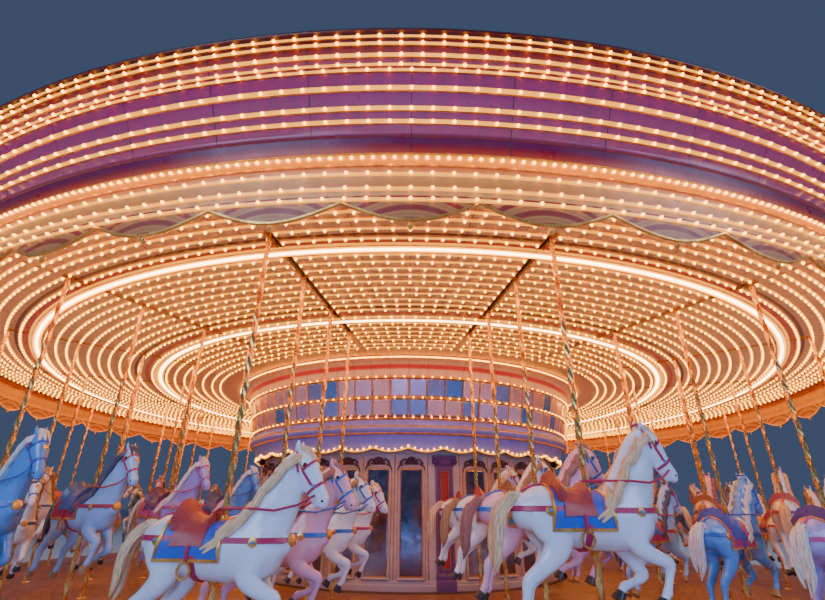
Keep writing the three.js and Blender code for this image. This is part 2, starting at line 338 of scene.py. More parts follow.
# shape tools; a shape is a list of vertices and a list of faces
def polarPoint(radius, angle, z):
    turn = radians(angle)
    return radius * sin(turn), -radius * cos(turn), z


def around(sides, offset=0.0):
    return [2 * pi * (i + offset) / sides for i in range(sides)]


def addObject(name, shape, materials, slots=None, smooth=40):
    mesh = bpy.data.meshes.new(name)
    mesh.from_pydata([tuple(vertex) for vertex in shape[0]], [], shape[1])
    for material in materials:
        mesh.materials.append(material)
    if slots is not None:
        mesh.polygons.foreach_set("material_index", np.asarray(slots, dtype=np.int32))
    if smooth:
        mesh.polygons.foreach_set("use_smooth", [True] * len(mesh.polygons))
        mesh.set_sharp_from_angle(angle=radians(smooth))
    return addLinked(name, mesh)


# a skin over rings of points; a ring of one point is a tip, the other ends are closed flat, and a loop has no end
# the rings run anticlockwise seen from the last one, or clockwise when the skin is flipped
def loft(rings, loop=False, flip=False):
    vertices = [point for ring in rings for point in ring]
    starts = [sum(len(ring) for ring in rings[:i]) for i in range(len(rings))]
    faces = []
    for i in range(len(rings) if loop else len(rings) - 1):
        after = (i + 1) % len(rings)
        low, high, size = starts[i], starts[after], max(len(rings[i]), len(rings[after]))
        for j in range(size):
            k = (j + 1) % size
            if len(rings[i]) == 1:
                faces.append((low, high + k, high + j))
            elif len(rings[after]) == 1:
                faces.append((low + j, low + k, high))
            elif flip:
                faces.append((low + j, high + j, high + k, low + k))
            else:
                faces.append((low + j, low + k, high + k, high + j))
    first, last = range(len(rings[0])), range(starts[-1], len(vertices))
    for end in () if loop else (first if flip else reversed(first), reversed(last) if flip else last):
        end = tuple(end)
        if len(end) > 1:
            faces.append(end)
    return vertices, faces


# a closed outline of (radius, height), anticlockwise, swept round the axis; it may be a function of the angle
def sweepRound(outline, segments, low=0.0, high=360.0):
    whole = high - low >= 360
    angles = [low + (high - low) * i / segments for i in range(segments if whole else segments + 1)]
    profiles = [(angle, outline(angle) if callable(outline) else outline) for angle in angles]
    return loft([[polarPoint(r, angle, z) for r, z in profile] for angle, profile in profiles], whole, True)


def join(shapes):
    vertices, faces = [], []
    for shape in shapes:
        start = len(vertices)
        vertices.extend(shape[0])
        faces.extend(tuple(start + i for i in face) for face in shape[1])
    return vertices, faces


def bead(radius, z, size, sides=6):
    return [(radius + size * cos(turn), z + size * sin(turn)) for turn in around(sides, 0.5)]


def shifted(outline, radius, wide=1.0):
    return [(radius + wide * out, z) for out, z in outline]


def scalloped(edge, angle):
    return edge["cusp"] - edge["depth"] * abs(sin(pi * ((angle - 90) / 360 * edge["scallops"])))


def settle(piece, slot, *replaced, body="turntable"):
    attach(piece, body)
    if replaced:
        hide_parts(*replaced)
    return piece


def shapePiece(name, shapes, materials, slot, *replaced, slots=None, smooth=40, body="turntable"):
    return settle(addObject(name, join(shapes), materials, slots, smooth), slot, *replaced, body=body)


def ringPiece(name, outlines, material, slot, *replaced, segments=ringSegments, smooth=40):
    shapes = [sweepRound(outline, segments) for outline in outlines]
    return shapePiece(name, shapes, [material], slot, *replaced, smooth=smooth)


# an outline whose every edge has its own material: [(radius, height, materialIndex), ...]
def bandedPiece(name, outline, materials, slot, *replaced):
    shape = sweepRound([(r, z) for r, z, index in outline], ringSegments)
    slots = [index for r, z, index in outline] * ringSegments
    return shapePiece(name, [shape], materials, slot, *replaced, slots=slots)


def paintNodes(material, *names):
    for name in names:
        for place in nodes[name].material_slots:
            place.material = material


# Geometry Nodes: copies of one piece on points that carry their own turn and share of the size
def buildCopiesTree():
    tree = bpy.data.node_groups.new("copiesOnPoints", "GeometryNodeTree")
    sockets = {"Points": "Geometry", "Piece": "Object", "Finish": "Material", "Size": "Float", "Repaint": "Bool"}
    for name, kind in sockets.items():
        tree.interface.new_socket(name, in_out="INPUT", socket_type="NodeSocket" + kind)
    tree.interface.new_socket("Geometry", in_out="OUTPUT", socket_type="NodeSocketGeometry")
    kinds = {"start": "NodeGroupInput", "piece": "GeometryNodeObjectInfo", "turn": "GeometryNodeInputNamedAttribute",
             "rotation": "FunctionNodeEulerToRotation", "share": "GeometryNodeInputNamedAttribute",
             "sized": "ShaderNodeMath", "copies": "GeometryNodeInstanceOnPoints",
             "real": "GeometryNodeRealizeInstances", "paint": "GeometryNodeSetMaterial", "end": "NodeGroupOutput"}
    made = {name: tree.nodes.new(kind) for name, kind in kinds.items()}
    for name, kind in (("turn", "FLOAT_VECTOR"), ("share", "FLOAT")):
        made[name].data_type = kind
        made[name].inputs["Name"].default_value = name
    made["sized"].operation = "MULTIPLY"
    for source, output, target, entry in (
            ("start", "Points", "copies", "Points"), ("start", "Piece", "piece", "Object"),
            ("piece", "Geometry", "copies", "Instance"), ("turn", "Attribute", "rotation", 0),
            ("rotation", 0, "copies", "Rotation"), ("share", "Attribute", "sized", 0), ("start", "Size", "sized", 1),
            ("sized", 0, "copies", "Scale"), ("copies", 0, "real", 0), ("real", 0, "paint", "Geometry"),
            ("start", "Finish", "paint", "Material"), ("start", "Repaint", "paint", "Selection"),
            ("paint", 0, "end", 0)):
        tree.links.new(made[source].outputs[output], made[target].inputs[entry])
    return tree


copiesTree = buildCopiesTree()


# the mesh that a piece's modifiers leave
def frozen(piece):
    return bpy.data.meshes.new_from_object(piece.evaluated_get(bpy.context.evaluated_depsgraph_get()))


def writeAttribute(mesh, name, kind, key, values):
    mesh.attributes.new(name, kind, "POINT").data.foreach_set(key, values)


# a copy of full size at a place, turned by an angle
def copyAt(angle, place=(0, 0, 0)):
    return place, (0.0, 0.0, radians(angle)), 1.0


# copies are (place, turn in radians, share of the size); without a material they keep the piece's own
def scatter(name, piece, copies, material=None, size=1.0, shades=None):
    mesh = bpy.data.meshes.new(name + "Points")
    mesh.from_pydata([place for place, turn, share in copies], [], [])
    writeAttribute(mesh, "turn", "FLOAT_VECTOR", "vector", [angle for place, turn, share in copies for angle in turn])
    writeAttribute(mesh, "share", "FLOAT", "value", [share for place, turn, share in copies])
    if shades:
        writeAttribute(mesh, "shade", "FLOAT", "value", shades)
    points = addLinked(name + "Points", mesh)
    modifier = points.modifiers.new("copies", "NODES")
    modifier.node_group = copiesTree
    wanted = {"Piece": piece, "Size": size, "Repaint": material is not None}
    if material:
        wanted["Finish"] = material
    for item in copiesTree.interface.items_tree:
        if item.name in wanted:
            modifier[item.identifier] = wanted[item.name]
    solid = frozen(points)
    solid.name = name
    points.modifiers.clear()
    bpy.data.objects.remove(points)
    return addLinked(name, solid)


# pieces that are only copied; scatter's copies are all that stays of them
templates = []


def template(name, shape, smooth=60, materials=(), slots=None):
    piece = addObject(name, shape, materials, slots, smooth)
    bpy.context.scene.collection.objects.unlink(piece)
    templates.append(piece)
    return piece


def copiedPiece(name, shapes, copies, material, slot, smooth=35, body="turntable"):
    piece = template(name + "_template", join(shapes), smooth)
    return settle(scatter(name, piece, copies, material), slot, body=body)


# turned about the local z axis, from (radius, height) pairs that end on the axis
def turnedShape(outline, sides):
    rings = [[(r * cos(turn), r * sin(turn), z) for turn in around(sides)] for r, z in outline[:-1]]
    return loft(rings + [[(0, 0, outline[-1][1])]])


def curve(points, steps):
    knots = [np.array(point, dtype=float) for point in points]
    knots = [2 * knots[0] - knots[1]] + knots + [2 * knots[-1] - knots[-2]]
    path = []
    for a, b, c, d in zip(knots, knots[1:], knots[2:], knots[3:]):
        for i in range(steps):
            t = i / steps
            path.append(b + 0.5 * t * (c - a + t * (2 * a - 5 * b + 4 * c - d + t * (3 * b - 3 * c + d - a))))
    return path + [knots[-2]]


# a closed limb along points (x, y, z, half depth, half width), rounded at both ends unless it is plain
def limb(points, sides=16, steps=3, ends=0.8, plain=False, across=(1, 0, 0)):
    path = curve(points, steps)
    frames = []
    for i, point in enumerate(path):
        along = Vector(path[min(i + 1, len(path) - 1)][:3] - path[max(i - 1, 0)][:3]).normalized()
        side = (Vector(across) - along * along.dot(Vector(across))).normalized()
        frames.append((Vector(point[:3]), along, side, point[3], point[4]))

    # a smaller frame beyond an end of the limb: reach along it, share of the width
    def beyond(frame, reach, share):
        centre, along, side, deep, wide = frame
        return centre + along * deep * ends * reach, along, side, deep * share, wide * share

    caps = () if plain else ((0.95, 0.35), (0.62, 0.78))
    before = [beyond(frames[0], -reach, share) for reach, share in caps]
    after = [beyond(frames[-1], reach, share) for reach, share in reversed(caps)]
    rings = [[beyond(frames[0], -1, 1)[0]]]
    for centre, along, side, deep, wide in before + frames + after:
        up = along.cross(side)
        rings.append([centre + side * (wide * cos(turn)) + up * (deep * sin(turn)) for turn in around(sides)])
    vertices, faces = loft(rings + [[beyond(frames[-1], 1, 1)[0]]])
    return [tuple(vertex) for vertex in vertices], faces


def moved(shape, turn, place):
    matrix = Matrix.Translation(place) @ turn.to_4x4()
    return [tuple(matrix @ Vector(vertex)) for vertex in shape[0]], shape[1]


# a straight bar from one place to the next, over a profile of (across, proud) pairs on a surface
def ridge(profile, places, point):
    return loft([[point(place, across, proud) for across, proud in profile] for place in places])


# lamps: small round bulbs in rings, each ring an even number of steps from rank to rank
lamp = {"outline": [(0.009, 0.0), (0.0145, 0.014), (0.0, 0.030)], "sides": 5}
bulb = template("bulb", turnedShape(lamp["outline"], lamp["sides"]), 180)


def lampRing(radius, z, out, up, pitch=lampPitch):
    count = rankCount * max(1, round(2 * pi * radius / pitch / rankCount))
    lean, copies = atan2(out, up), []
    for i in range(count):
        angle = rankAngles[0] + (i + 0.5) * 360 / count
        place = polarPoint(radius, angle, z(angle) if callable(z) else z)
        copies.append((place, (lean, 0.0, radians(angle)), 1.0))
    return copies


def lampsPiece(name, rings, size=1.0):
    return settle(scatter(name, bulb, [copy for ring in rings for copy in ring], lampGlass, size), "gilt")


# ceiling: boards painted in rings, a gilt rail with a strip of painted glow under every row of lamps, two glowing
# hoops, each with a band of painted glow beside it
ceiling = {
    "rings": [(3.5, (0.95, 0.46, 0.25)), (3.97, (0.98, 0.64, 0.34)), (5.098, (0.97, 0.64, 0.34)),
              (5.192, (0.98, 0.71, 0.42)), (6.085, (0.98, 0.71, 0.42)), (6.978, (0.96, 0.69, 0.41)),
              (7.072, (0.92, 0.63, 0.38)), (8.2, (0.87, 0.58, 0.37))],
    "lines": ((7.131, 7.243), (5.425, 5.612)), "redHalf": 0.034, "brownHalf": 0.02,
    "rows": (7.95, 7.83, 7.72, 7.605, 7.49, 7.35, 7.19, 6.895, 6.755, 6.615, 6.475, 6.321, 6.167, 6.02, 5.859, 5.712,
             5.558, 5.34, 5.103, 4.956, 4.788, 4.627, 4.452, 4.277, 4.123),
    "railHalf": 0.0235, "stripHalf": 0.0165, "railDepth": 0.014, "railSteps": 6, "lampSize": 1.12,
    "hoops": (("outer", 7.0, 1.0, 0.096), ("middle", 5.21, 1.15, 0.10)),
    "channel": [(-0.055, 3.745), (-0.054, 3.737), (-0.049, 3.733), (-0.045, 3.738), (0.053, 3.738), (0.057, 3.733),
                (0.062, 3.737), (0.063, 3.745), (0.063, railTop), (-0.055, railTop)],
    "tube": [(-0.025, 3.741), (-0.023, 3.731), (-0.013, 3.725), (0.005, 3.725), (0.015, 3.731), (0.017, 3.741)],
    "amberTube": [(-0.013, 3.741), (-0.010, 3.732), (0, 3.728), (0.010, 3.732), (0.013, 3.741)],
    "amberSides": (-0.042, 0.036), "glowInner": 0.066, "glowSlope": 0.003, "glowZ": 3.741}


def makeCeilingPaint():
    finish = Finish("ceilingPaint", 0.42)
    radius, angle, z = finish.polar()
    colour = radius.bands(ceiling["rings"])
    for red, brown in ceiling["lines"]:
        colour = radius.near(red, ceiling["redHalf"]).mix(colour, (1.0, 0.2, 0.12))
        colour = radius.near(brown, ceiling["brownHalf"]).mix(colour, (0.22, 0.07, 0.04))
    joint = angle.lines(4.0, 0.06)
    grain = finish.noise(9, 4.0, 0.6, finish.vector(angle * 1.2, radius * 0.35, z))
    colour = joint.mix(grain.stain(colour, (0.28, 0.14, 0.10), 0.35, 0.7, 0.28), (0.1, 0.05, 0.03))
    return finish.dress(colour, grain.span(0.3, 0.7, 0.3, 0.55), grain * 0.5 - joint, 0.35, 0.004)


def makeCeiling():
    paintNodes(makeCeilingPaint(), "ceiling_1", "ceiling_2", "ceiling_3")
    half, strip, steps = ceiling["railHalf"], ceiling["stripHalf"], ceiling["railSteps"]
    low = ceilingZ - ceiling["railDepth"]
    profile = [(-strip * 1.25, low + 0.003), (-strip, low), (strip, low), (strip * 1.25, low + 0.003),
               (half, railTop), (-half, railTop)]
    rails = []
    for radius in ceiling["rows"]:
        gap = degrees(slotHalf / radius)
        rails += [sweepRound(shifted(profile, radius), steps, angle + gap, angle + rankStep - gap)
                  for angle in rankAngles]
    # the rail's lower faces take the painted glow, the rest is gilt
    slots = ([1, 1, 1, 0, 0, 0] * steps + [0, 0]) * len(rails)
    shapePiece("ceiling_lamp_rails", rails, [gilt, railPaintedGlow], "gilt", slots=slots)
    lampsPiece("ceiling_lamps", [lampRing(r, low, 0, -1) for r in ceiling["rows"]], ceiling["lampSize"])
    hoopAmber = makeGlow("hoopAmber", (1.0, 0.40, 0.02), (1.0, 0.32, 0.0), 3.6)
    for name, hoop, wide, glow in ceiling["hoops"]:
        node = f"lamp_hoop_{name}"
        ringPiece(node + "_channel", [shifted(ceiling["channel"], hoop)], gilt, "gilt", node)
        ringPiece(node + "_tube", [shifted(ceiling["tube"], hoop, wide)], tubeGlass, "gilt")
        ambers = [shifted(ceiling["amberTube"], hoop + side) for side in ceiling["amberSides"]]
        ringPiece(node + "_amber_tube", ambers, hoopAmber, "gilt")
        # a flat band of painted glow on the ceiling beside the hoop, standing for its light spilling over the boards
        inner, slope, foot = ceiling["glowInner"], ceiling["glowSlope"], ceiling["glowZ"]
        edge = [(inner, railTop), (inner + slope, foot), (glow - slope, foot), (glow, railTop)]
        ringPiece(node + "_glow", [shifted(edge, hoop)], railPaintedGlow, "gilt")


makeCeiling()
print("stage: ceiling")


# crown: boards that lean out, between gilt rails that carry the lamps and have faces of painted glow, over a ledge of
# painted glow
crown = {
    "foot": (8.262, 3.955), "top": (8.608, 4.525), "railProud": 0.014, "lampSize": 1.05,
    "rows": ((0.10, 0.021), (0.235, 0.022), (0.44, 0.024), (0.62, 0.014), (0.675, 0.013), (0.77, 0.019),
             (0.885, 0.015), (0.955, 0.012)),
    "ledge": [(8.110, 3.700, 1), (8.188, 3.700, 1), (8.207, 3.706, 3), (8.228, 3.722, 3), (8.238, 3.745, 3),
              (8.233, 3.768, 3), (8.217, 3.785, 1), (8.213, 3.802, 0), (8.224, 3.86, 0), (8.240, 3.92, 0),
              (8.256, 3.926, 0), (8.264, 3.942, 0)],
    "ledgeLamps": (8.236, 3.735, 1, -0.35, 0.076),
    "lip": [(8.612, 4.519, 0), (8.627, 4.522, 0), (8.630, 4.533, 0), (8.625, 4.547, 0), (8.60, 4.567, 0),
            (8.56, 4.59, 0), (8.48, 4.59, 0), (8.1803, 4.0, 0), (8.1803, 3.7497, 0), (8.11, 3.7497, 0)],
    "bands": [(3.70, (0.6, 0.11, 0.02)), (3.80, (0.5, 0.05, 0.02)), (3.855, (0.26, 0.004, 0.02)),
              (3.885, (0.15, 0.001, 0.055)), (3.925, (0.18, 0.003, 0.07)), (3.945, (0.42, 0.08, 0.15)),
              (4.03, (0.4, 0.08, 0.16)), (4.07, (0.37, 0.06, 0.145)), (4.12, (0.4, 0.07, 0.16)),
              (4.19, (0.36, 0.038, 0.15)), (4.30, (0.38, 0.038, 0.125)), (4.36, (0.43, 0.08, 0.11)),
              (4.40, (0.4, 0.055, 0.05)), (4.44, (0.3, 0.022, 0.012)), (4.50, (0.12, 0.005, 0.005)),
              (4.60, (0.05, 0.003, 0.006))]}
crownLean = Vector((crown["top"][0] - crown["foot"][0], crown["top"][1] - crown["foot"][1]))


def onCrown(share, proud=0.0):
    out = Vector((crownLean.y, -crownLean.x)).normalized() * proud
    return crown["foot"][0] + crownLean.x * share + out.x, crown["foot"][1] + crownLean.y * share + out.y


def makeCrown():
    outline, rings, proud = crown["ledge"] + [(*onCrown(0), 0)], [], crown["railProud"]
    for share, wide in crown["rows"]:
        half = wide / crownLean.length
        for step, rise, index in ((-half, 0, 1), (-half * 0.7, 1, 2), (half * 0.7, 1, 1), (half, 0, 0)):
            outline.append((*onCrown(share + step, rise * proud), index))
        rings.append(lampRing(*onCrown(share, proud * 0.8), crownLean.y, -crownLean.x))
    paint = makeBandPaint("crownPaint", crown["bands"], 0.3, 0.3, 5.0, (5.0, 0.045, (0.05, 0.02, 0.03)))
    # the rails' faces and the ledge give off painted glow, though they are no lamps
    materials = [paint, gilt, railPaintedGlow, makeGlow("ledgePaintedGlow", (1.0, 0.34, 0.0), (0.9, 0.26, 0.0), 0.6)]
    bandedPiece("crown_boards", outline + crown["lip"], materials, "crown_paint", "crown_1", "crown_2", "crown_3")
    lampsPiece("crown_lamps", rings + [lampRing(*crown["ledgeLamps"])], crown["lampSize"])


makeCrown()
print("stage: crown")


# rim valance: a scalloped board under the crown, with a rolled gilt edge and three rows of lamps on rails of painted
# glow
valance = {
    "inner": 8.167, "outer": 8.188, "top": 3.6997, "cusp": 3.4, "depth": 0.145, "scallops": 54, "steps": 10,
    "rows": (3.632, 3.505, 3.415), "rail": [(0, -0.016), (0.010, -0.011), (0.010, 0.011), (0, 0.016)],
    "edgeDrop": 0.002, "edgeSize": 0.016, "lampProud": 0.01, "pendantDrop": 0.012,
    "pendant": [(0.006, 0.0), (0.02, 0.016), (0.024, 0.03), (0.012, 0.055), (0.0, 0.07)]}


def makeValancePaint():
    finish = Finish("valancePaint", 0.34)
    radius, angle, z = finish.polar()
    half, border = 180 / valance["scallops"], 3.45
    across = (angle + 720.0).work("PINGPONG", half) / half
    rays = ((across * across + z.span(3.25, 3.5, 0.0, 1.2)) * 4.0).work("PINGPONG", 1.0)
    drop = rays.ramp([(0.0, (0.3, 0.03, 0.02)), (0.4, (0.36, 0.05, 0.03)), (0.55, (0.6, 0.24, 0.06)),
                      (1.0, (0.5, 0.16, 0.05))])
    upper = z.bands([(border, (0.84, 0.4, 0.1)), (3.5375, (0.66, 0.24, 0.05)), (3.625, (0.8, 0.36, 0.08)),
                     (3.7, (0.72, 0.18, 0.04))])
    return finish.painted(z.above(border).mix(drop, upper), 0.25)


def makeValance():
    inner, outer, top = valance["inner"], valance["outer"], valance["top"]
    middle, segments = (inner + outer) / 2, valance["scallops"] * valance["steps"]

    def board(angle):
        low = scalloped(valance, angle)
        return [(inner, low), (outer, low), (outer, top), (inner, top)]

    def edge(angle):
        return bead(middle, scalloped(valance, angle) - valance["edgeDrop"], valance["edgeSize"])

    ringPiece("rim_valance_board", [board], makeValancePaint(), "crown_paint", "rim_valance_1", "rim_valance_2",
              "rim_valance_3", segments=segments)
    ringPiece("rim_valance_edge", [edge], gilt, "gilt", segments=segments)
    # the rails carry a painted glow
    rails = [[(outer + out, z + rise) for out, rise in valance["rail"]] for z in valance["rows"]]
    ringPiece("rim_valance_rails", rails, railPaintedGlow, "gilt")
    lampsPiece("rim_valance_lamps", [lampRing(outer + valance["lampProud"], z, 1, 0) for z in valance["rows"]])
    angles = [(k + 0.5) * 360 / valance["scallops"] + 90 for k in range(valance["scallops"])]
    places = [polarPoint(middle, angle, scalloped(valance, angle) - valance["pendantDrop"]) for angle in angles]
    drops = [(place, (pi, 0.0, 0.0), 1.0) for place in places]
    copiedPiece("rim_valance_drops", [turnedShape(valance["pendant"], 8)], drops, gilt, "gilt", 60)


makeValance()
print("stage: rim valance")


# drum: cove, two tiers of mirror panels between gilt bars, cornice and scalloped hem
drum = {
    "footR": 3.339, "footZ": 2.83, "topR": 3.479, "topZ": 3.4397, "middleR": 3.4, "columns": 72,
    "tiers": ((2.865, 3.105), (3.157, 3.42)), "tierBorder": 3.131,
    "panel": ((0.0, -0.012), (0.0, -0.006), (0.016, 0.0)), "barHalf": 0.012,
    "bar": ((-0.011, -0.012), (-0.006, 0.008), (0.006, 0.008), (0.011, -0.012)),
    "rail": ((-0.012, -0.024), (0.01, -0.016), (0.014, 0.016), (-0.006, 0.024)),
    "rows": ((3.479, 3.453), (3.409, 3.131), (3.339, 2.837)), "lampSize": 1.1, "lampProud": 0.006,
    "inner": 3.28, "panelDepth": 0.012, "topTube": (3.706, 3.716, 0.011), "topLamps": (3.705, 3.722, 0.5, -1),
    "paintedReflections": ((82, 62, 92), (26, 40, 98), (95, 64, 78), (80, 64, 86), (58, 50, 92), (95, 60, 62), (12, 34, 100),
              (85, 70, 95)),
    "cornice": [(3.28, 2.569, 0), (3.318, 2.569, 1), (3.334, 2.573, 1), (3.340, 2.586, 1), (3.334, 2.598, 0),
                (3.344, 2.612, 0), (3.366, 2.628, 0), (3.381, 2.645, 0), (3.384, 2.664, 0), (3.372, 2.68, 1),
                (3.36, 2.69, 1), (3.362, 2.706, 0), (3.350, 2.722, 0), (3.345, 2.76, 0), (3.349, 2.79, 1),
                (3.360, 2.80, 1), (3.363, 2.815, 1), (3.352, 2.8297, 0), (3.28, 2.8297, 0)]}
cove = {
    "foot": [(3.42, 3.44, 0), (3.47, 3.44, 1), (3.486, 3.446, 1), (3.49, 3.462, 1), (3.482, 3.475, 0)],
    "curveFoot": (3.484, 3.49), "curveWide": 0.17, "curveHigh": 0.205, "turn": 8, "turns": 11,
    "head": [(3.655, 3.705, 1), (3.70, 3.712, 1), (3.712, 3.73, 1), (3.70, 3.7497, 0), (3.42, 3.7497, 0)],
    "bands": [(3.44, (0.94, 0.52, 0.34)), (3.50, (0.96, 0.68, 0.48)), (3.565, (0.97, 0.74, 0.56)),
              (3.580, (0.96, 0.3, 0.08)), (3.592, (0.82, 0.06, 0.09)), (3.630, (0.82, 0.06, 0.09)),
              (3.642, (0.96, 0.3, 0.08)), (3.655, (0.97, 0.68, 0.5)), (3.70, (0.96, 0.60, 0.38)),
              (3.75, (0.87, 0.34, 0.16))]}
corniceBands = [(2.57, (0.24, 0.28, 0.9)), (2.64, (0.36, 0.4, 0.97)), (2.72, (0.28, 0.34, 0.95)),
                (2.83, (0.34, 0.28, 0.85))]
hem = {
    "scallops": 36, "cusp": 2.385, "depth": 0.055, "steps": 10, "inner": 3.152, "outer": 3.208, "slopeR": 3.214,
    "slopeRise": 0.03, "top": [(3.288, 2.5687), (3.232, 2.5687)], "rollR": 3.206, "rollSize": 0.013,
    "lampR": 3.214, "lampRise": 0.024, "lampPitch": 0.1,
    "bands": [(2.33, (0.2, 0.24, 0.85)), (2.42, (0.34, 0.38, 0.98)), (2.48, (0.26, 0.3, 0.95)),
              (2.57, (0.32, 0.32, 0.9))]}


def bandRadius(z):
    return drum["footR"] + (drum["topR"] - drum["footR"]) * (z - drum["footZ"]) / (drum["topZ"] - drum["footZ"])


# the mirror panels' colours are painted reflections: each panel takes one tint, standing for the coloured
# surroundings seen in it
def makePanelMirror():
    finish = Finish("drumMirror", 0.12, 0.55)
    radius, angle, z = finish.polar()
    column = ((angle + 720.0) / (360 / drum["columns"])).work("FLOOR")
    tint = finish.cell(column + z.above(drum["tierBorder"]) * 157.0).pick(drum["paintedReflections"])
    age = finish.noise(11, 6.0, 0.7)
    colour = age.stain(tint, (0.3, 0.2, 0.16), 0.55, 0.8, 0.5)
    return finish.dress(colour, age.span(0.4, 0.8, 0.072, 0.42), finish.noise(4, 2.0), 0.12, 0.02)


def makeDrumCove():
    radius, z = cove["curveFoot"]
    outline = list(cove["foot"])
    for turn in [radians(cove["turn"] * i) for i in range(cove["turns"])]:
        outline.append((radius + cove["curveWide"] * (1 - cos(turn)), z + cove["curveHigh"] * sin(turn), 0))
    paint = makeBandPaint("covePaint", cove["bands"], 0.35, 0.2, 8.0, (5.0, 0.08, (0.3, 0.1, 0.06)))
    bandedPiece("drum_cove_boards", outline + cove["head"], [paint, gilt], "cove_paint", "drum_cove")


def makeDrumBand():
    inner, low, high, deep = drum["inner"], drum["footZ"], drum["topZ"], drum["panelDepth"]
    back = [(inner, low), (bandRadius(low) - deep, low), (bandRadius(high) - deep, high), (3.42, high)]
    paint = makeBandPaint("bandBackPaint", [(2.83, (0.16, 0.05, 0.16)), (3.44, (0.22, 0.08, 0.18))])
    ringPiece("drum_band_back", [back], paint, "crown_paint", "drum_mirror_band")
    step, middle, panels, bars = 360 / drum["columns"], drum["middleR"], [], []
    for i in range(drum["columns"]):
        for low, high in drum["tiers"]:
            rings = []
            for inset, proud in drum["panel"]:
                side = degrees((drum["barHalf"] + inset) / middle)
                left, right = i * step + side, (i + 1) * step - side
                corners = ((left, low + inset), (right, low + inset), (right, high - inset), (left, high - inset))
                rings.append([polarPoint(bandRadius(z) + proud, angle, z) for angle, z in corners])
            panels.append(loft(rings))
        bars.append(ridge(drum["bar"], (2.84, 3.43), lambda z, across, proud: polarPoint(
            bandRadius(z) + proud, i * step + degrees(across / middle), z)))
    shapePiece("drum_mirror_panels", panels, [makePanelMirror()], "mirror_glass", smooth=0)
    shapePiece("drum_mirror_bars", bars, [gilt], "gilt")


def makeDrum():
    makeDrumCove()
    makeDrumBand()
    rails = [[(radius + out, z + rise) for out, rise in drum["rail"]] for radius, z in drum["rows"][:2]]
    ringPiece("drum_lamp_rails", rails, gilt, "gilt")
    ringPiece("drum_top_tube", [bead(*drum["topTube"])], lampGlass, "gilt")
    bandedPiece("drum_cornice_moulding", drum["cornice"], [makeBandPaint("cornicePaint", corniceBands), gilt],
                "crown_paint", "drum_cornice")
    segments = hem["scallops"] * hem["steps"]

    def board(angle):
        low = scalloped(hem, angle)
        return [(hem["inner"], low), (hem["outer"], low), (hem["slopeR"], low + hem["slopeRise"]), *hem["top"]]

    ringPiece("drum_hem_board", [board], makeBandPaint("hemPaint", hem["bands"]), "crown_paint", "drum_hem",
              segments=segments)
    # the rolled edge of the hem has a painted glow
    ringPiece("drum_hem_roll", [lambda angle: bead(hem["rollR"], scalloped(hem, angle), hem["rollSize"])],
              railPaintedGlow, "gilt", segments=segments)
    rings = [lampRing(radius + drum["lampProud"], z, 1, -0.1) for radius, z in drum["rows"]]
    rings.append(lampRing(*drum["topLamps"]))
    rings.append(lampRing(hem["lampR"], lambda angle: scalloped(hem, angle) + hem["lampRise"], 1, -0.2,
                          hem["lampPitch"]))
    lampsPiece("drum_lamps", rings, drum["lampSize"])


makeDrum()
print("stage: drum")


# fixed wall: cream bays with tall framed mirrors under shell pediments, and four violet pilasters
wall = {
    "radius": 3.0, "face": 2.9886, "low": 0.4203, "high": 2.7, "bay": 10.0, "firstPilaster": 11.0, "bays": 36,
    "pilasterEvery": 9, "frameHalf": 0.21, "frameLow": 0.56, "frameHigh": 2.127,
    "foot": [(2.99, 0.4203), (3.034, 0.4203), (3.034, 0.49), (3.02, 0.51), (3.022, 0.53), (3.008, 0.556),
             (2.99, 0.556)],
    "cornice": [(2.99, 2.30), (3.02, 2.306), (3.036, 2.325), (3.03, 2.345), (3.04, 2.36), (3.02, 2.385),
                (2.99, 2.39)],
    "moulding": [(0, -0.005), (0, 0.03), (0.004, 0.044), (0.012, 0.05), (0.019, 0.046), (0.023, 0.034),
                 (0.029, 0.036), (0.034, 0.03), (0.038, 0.018), (0.041, -0.005)],
    "innerLine": [(0, 0.0), (0, 0.008), (0.006, 0.011), (0.01, 0.0)],
    "outerLine": [(0, 0.0), (0.002, 0.009), (0.008, 0.009), (0.01, 0.0)],
    "bevel": [(0, -0.005), (0, 0.018), (0.022, 0.022), (0.022, -0.005)],
    "baySeam": [(-0.012, 0.0), (-0.008, 0.010), (0.0, 0.014), (0.008, 0.010), (0.012, 0.0)], "seamZ": (0.556, 2.3),
    "frameBend": 0.08, "glassInset": 0.0585, "glassProud": 0.022}
# shells over a mirror: (half width, rise, height over the frame, ribs, depth)
shells = ((0.118, 0.132, 0.012, 7, 0.085), (0.052, 0.058, 0.013, 4, 0.1))
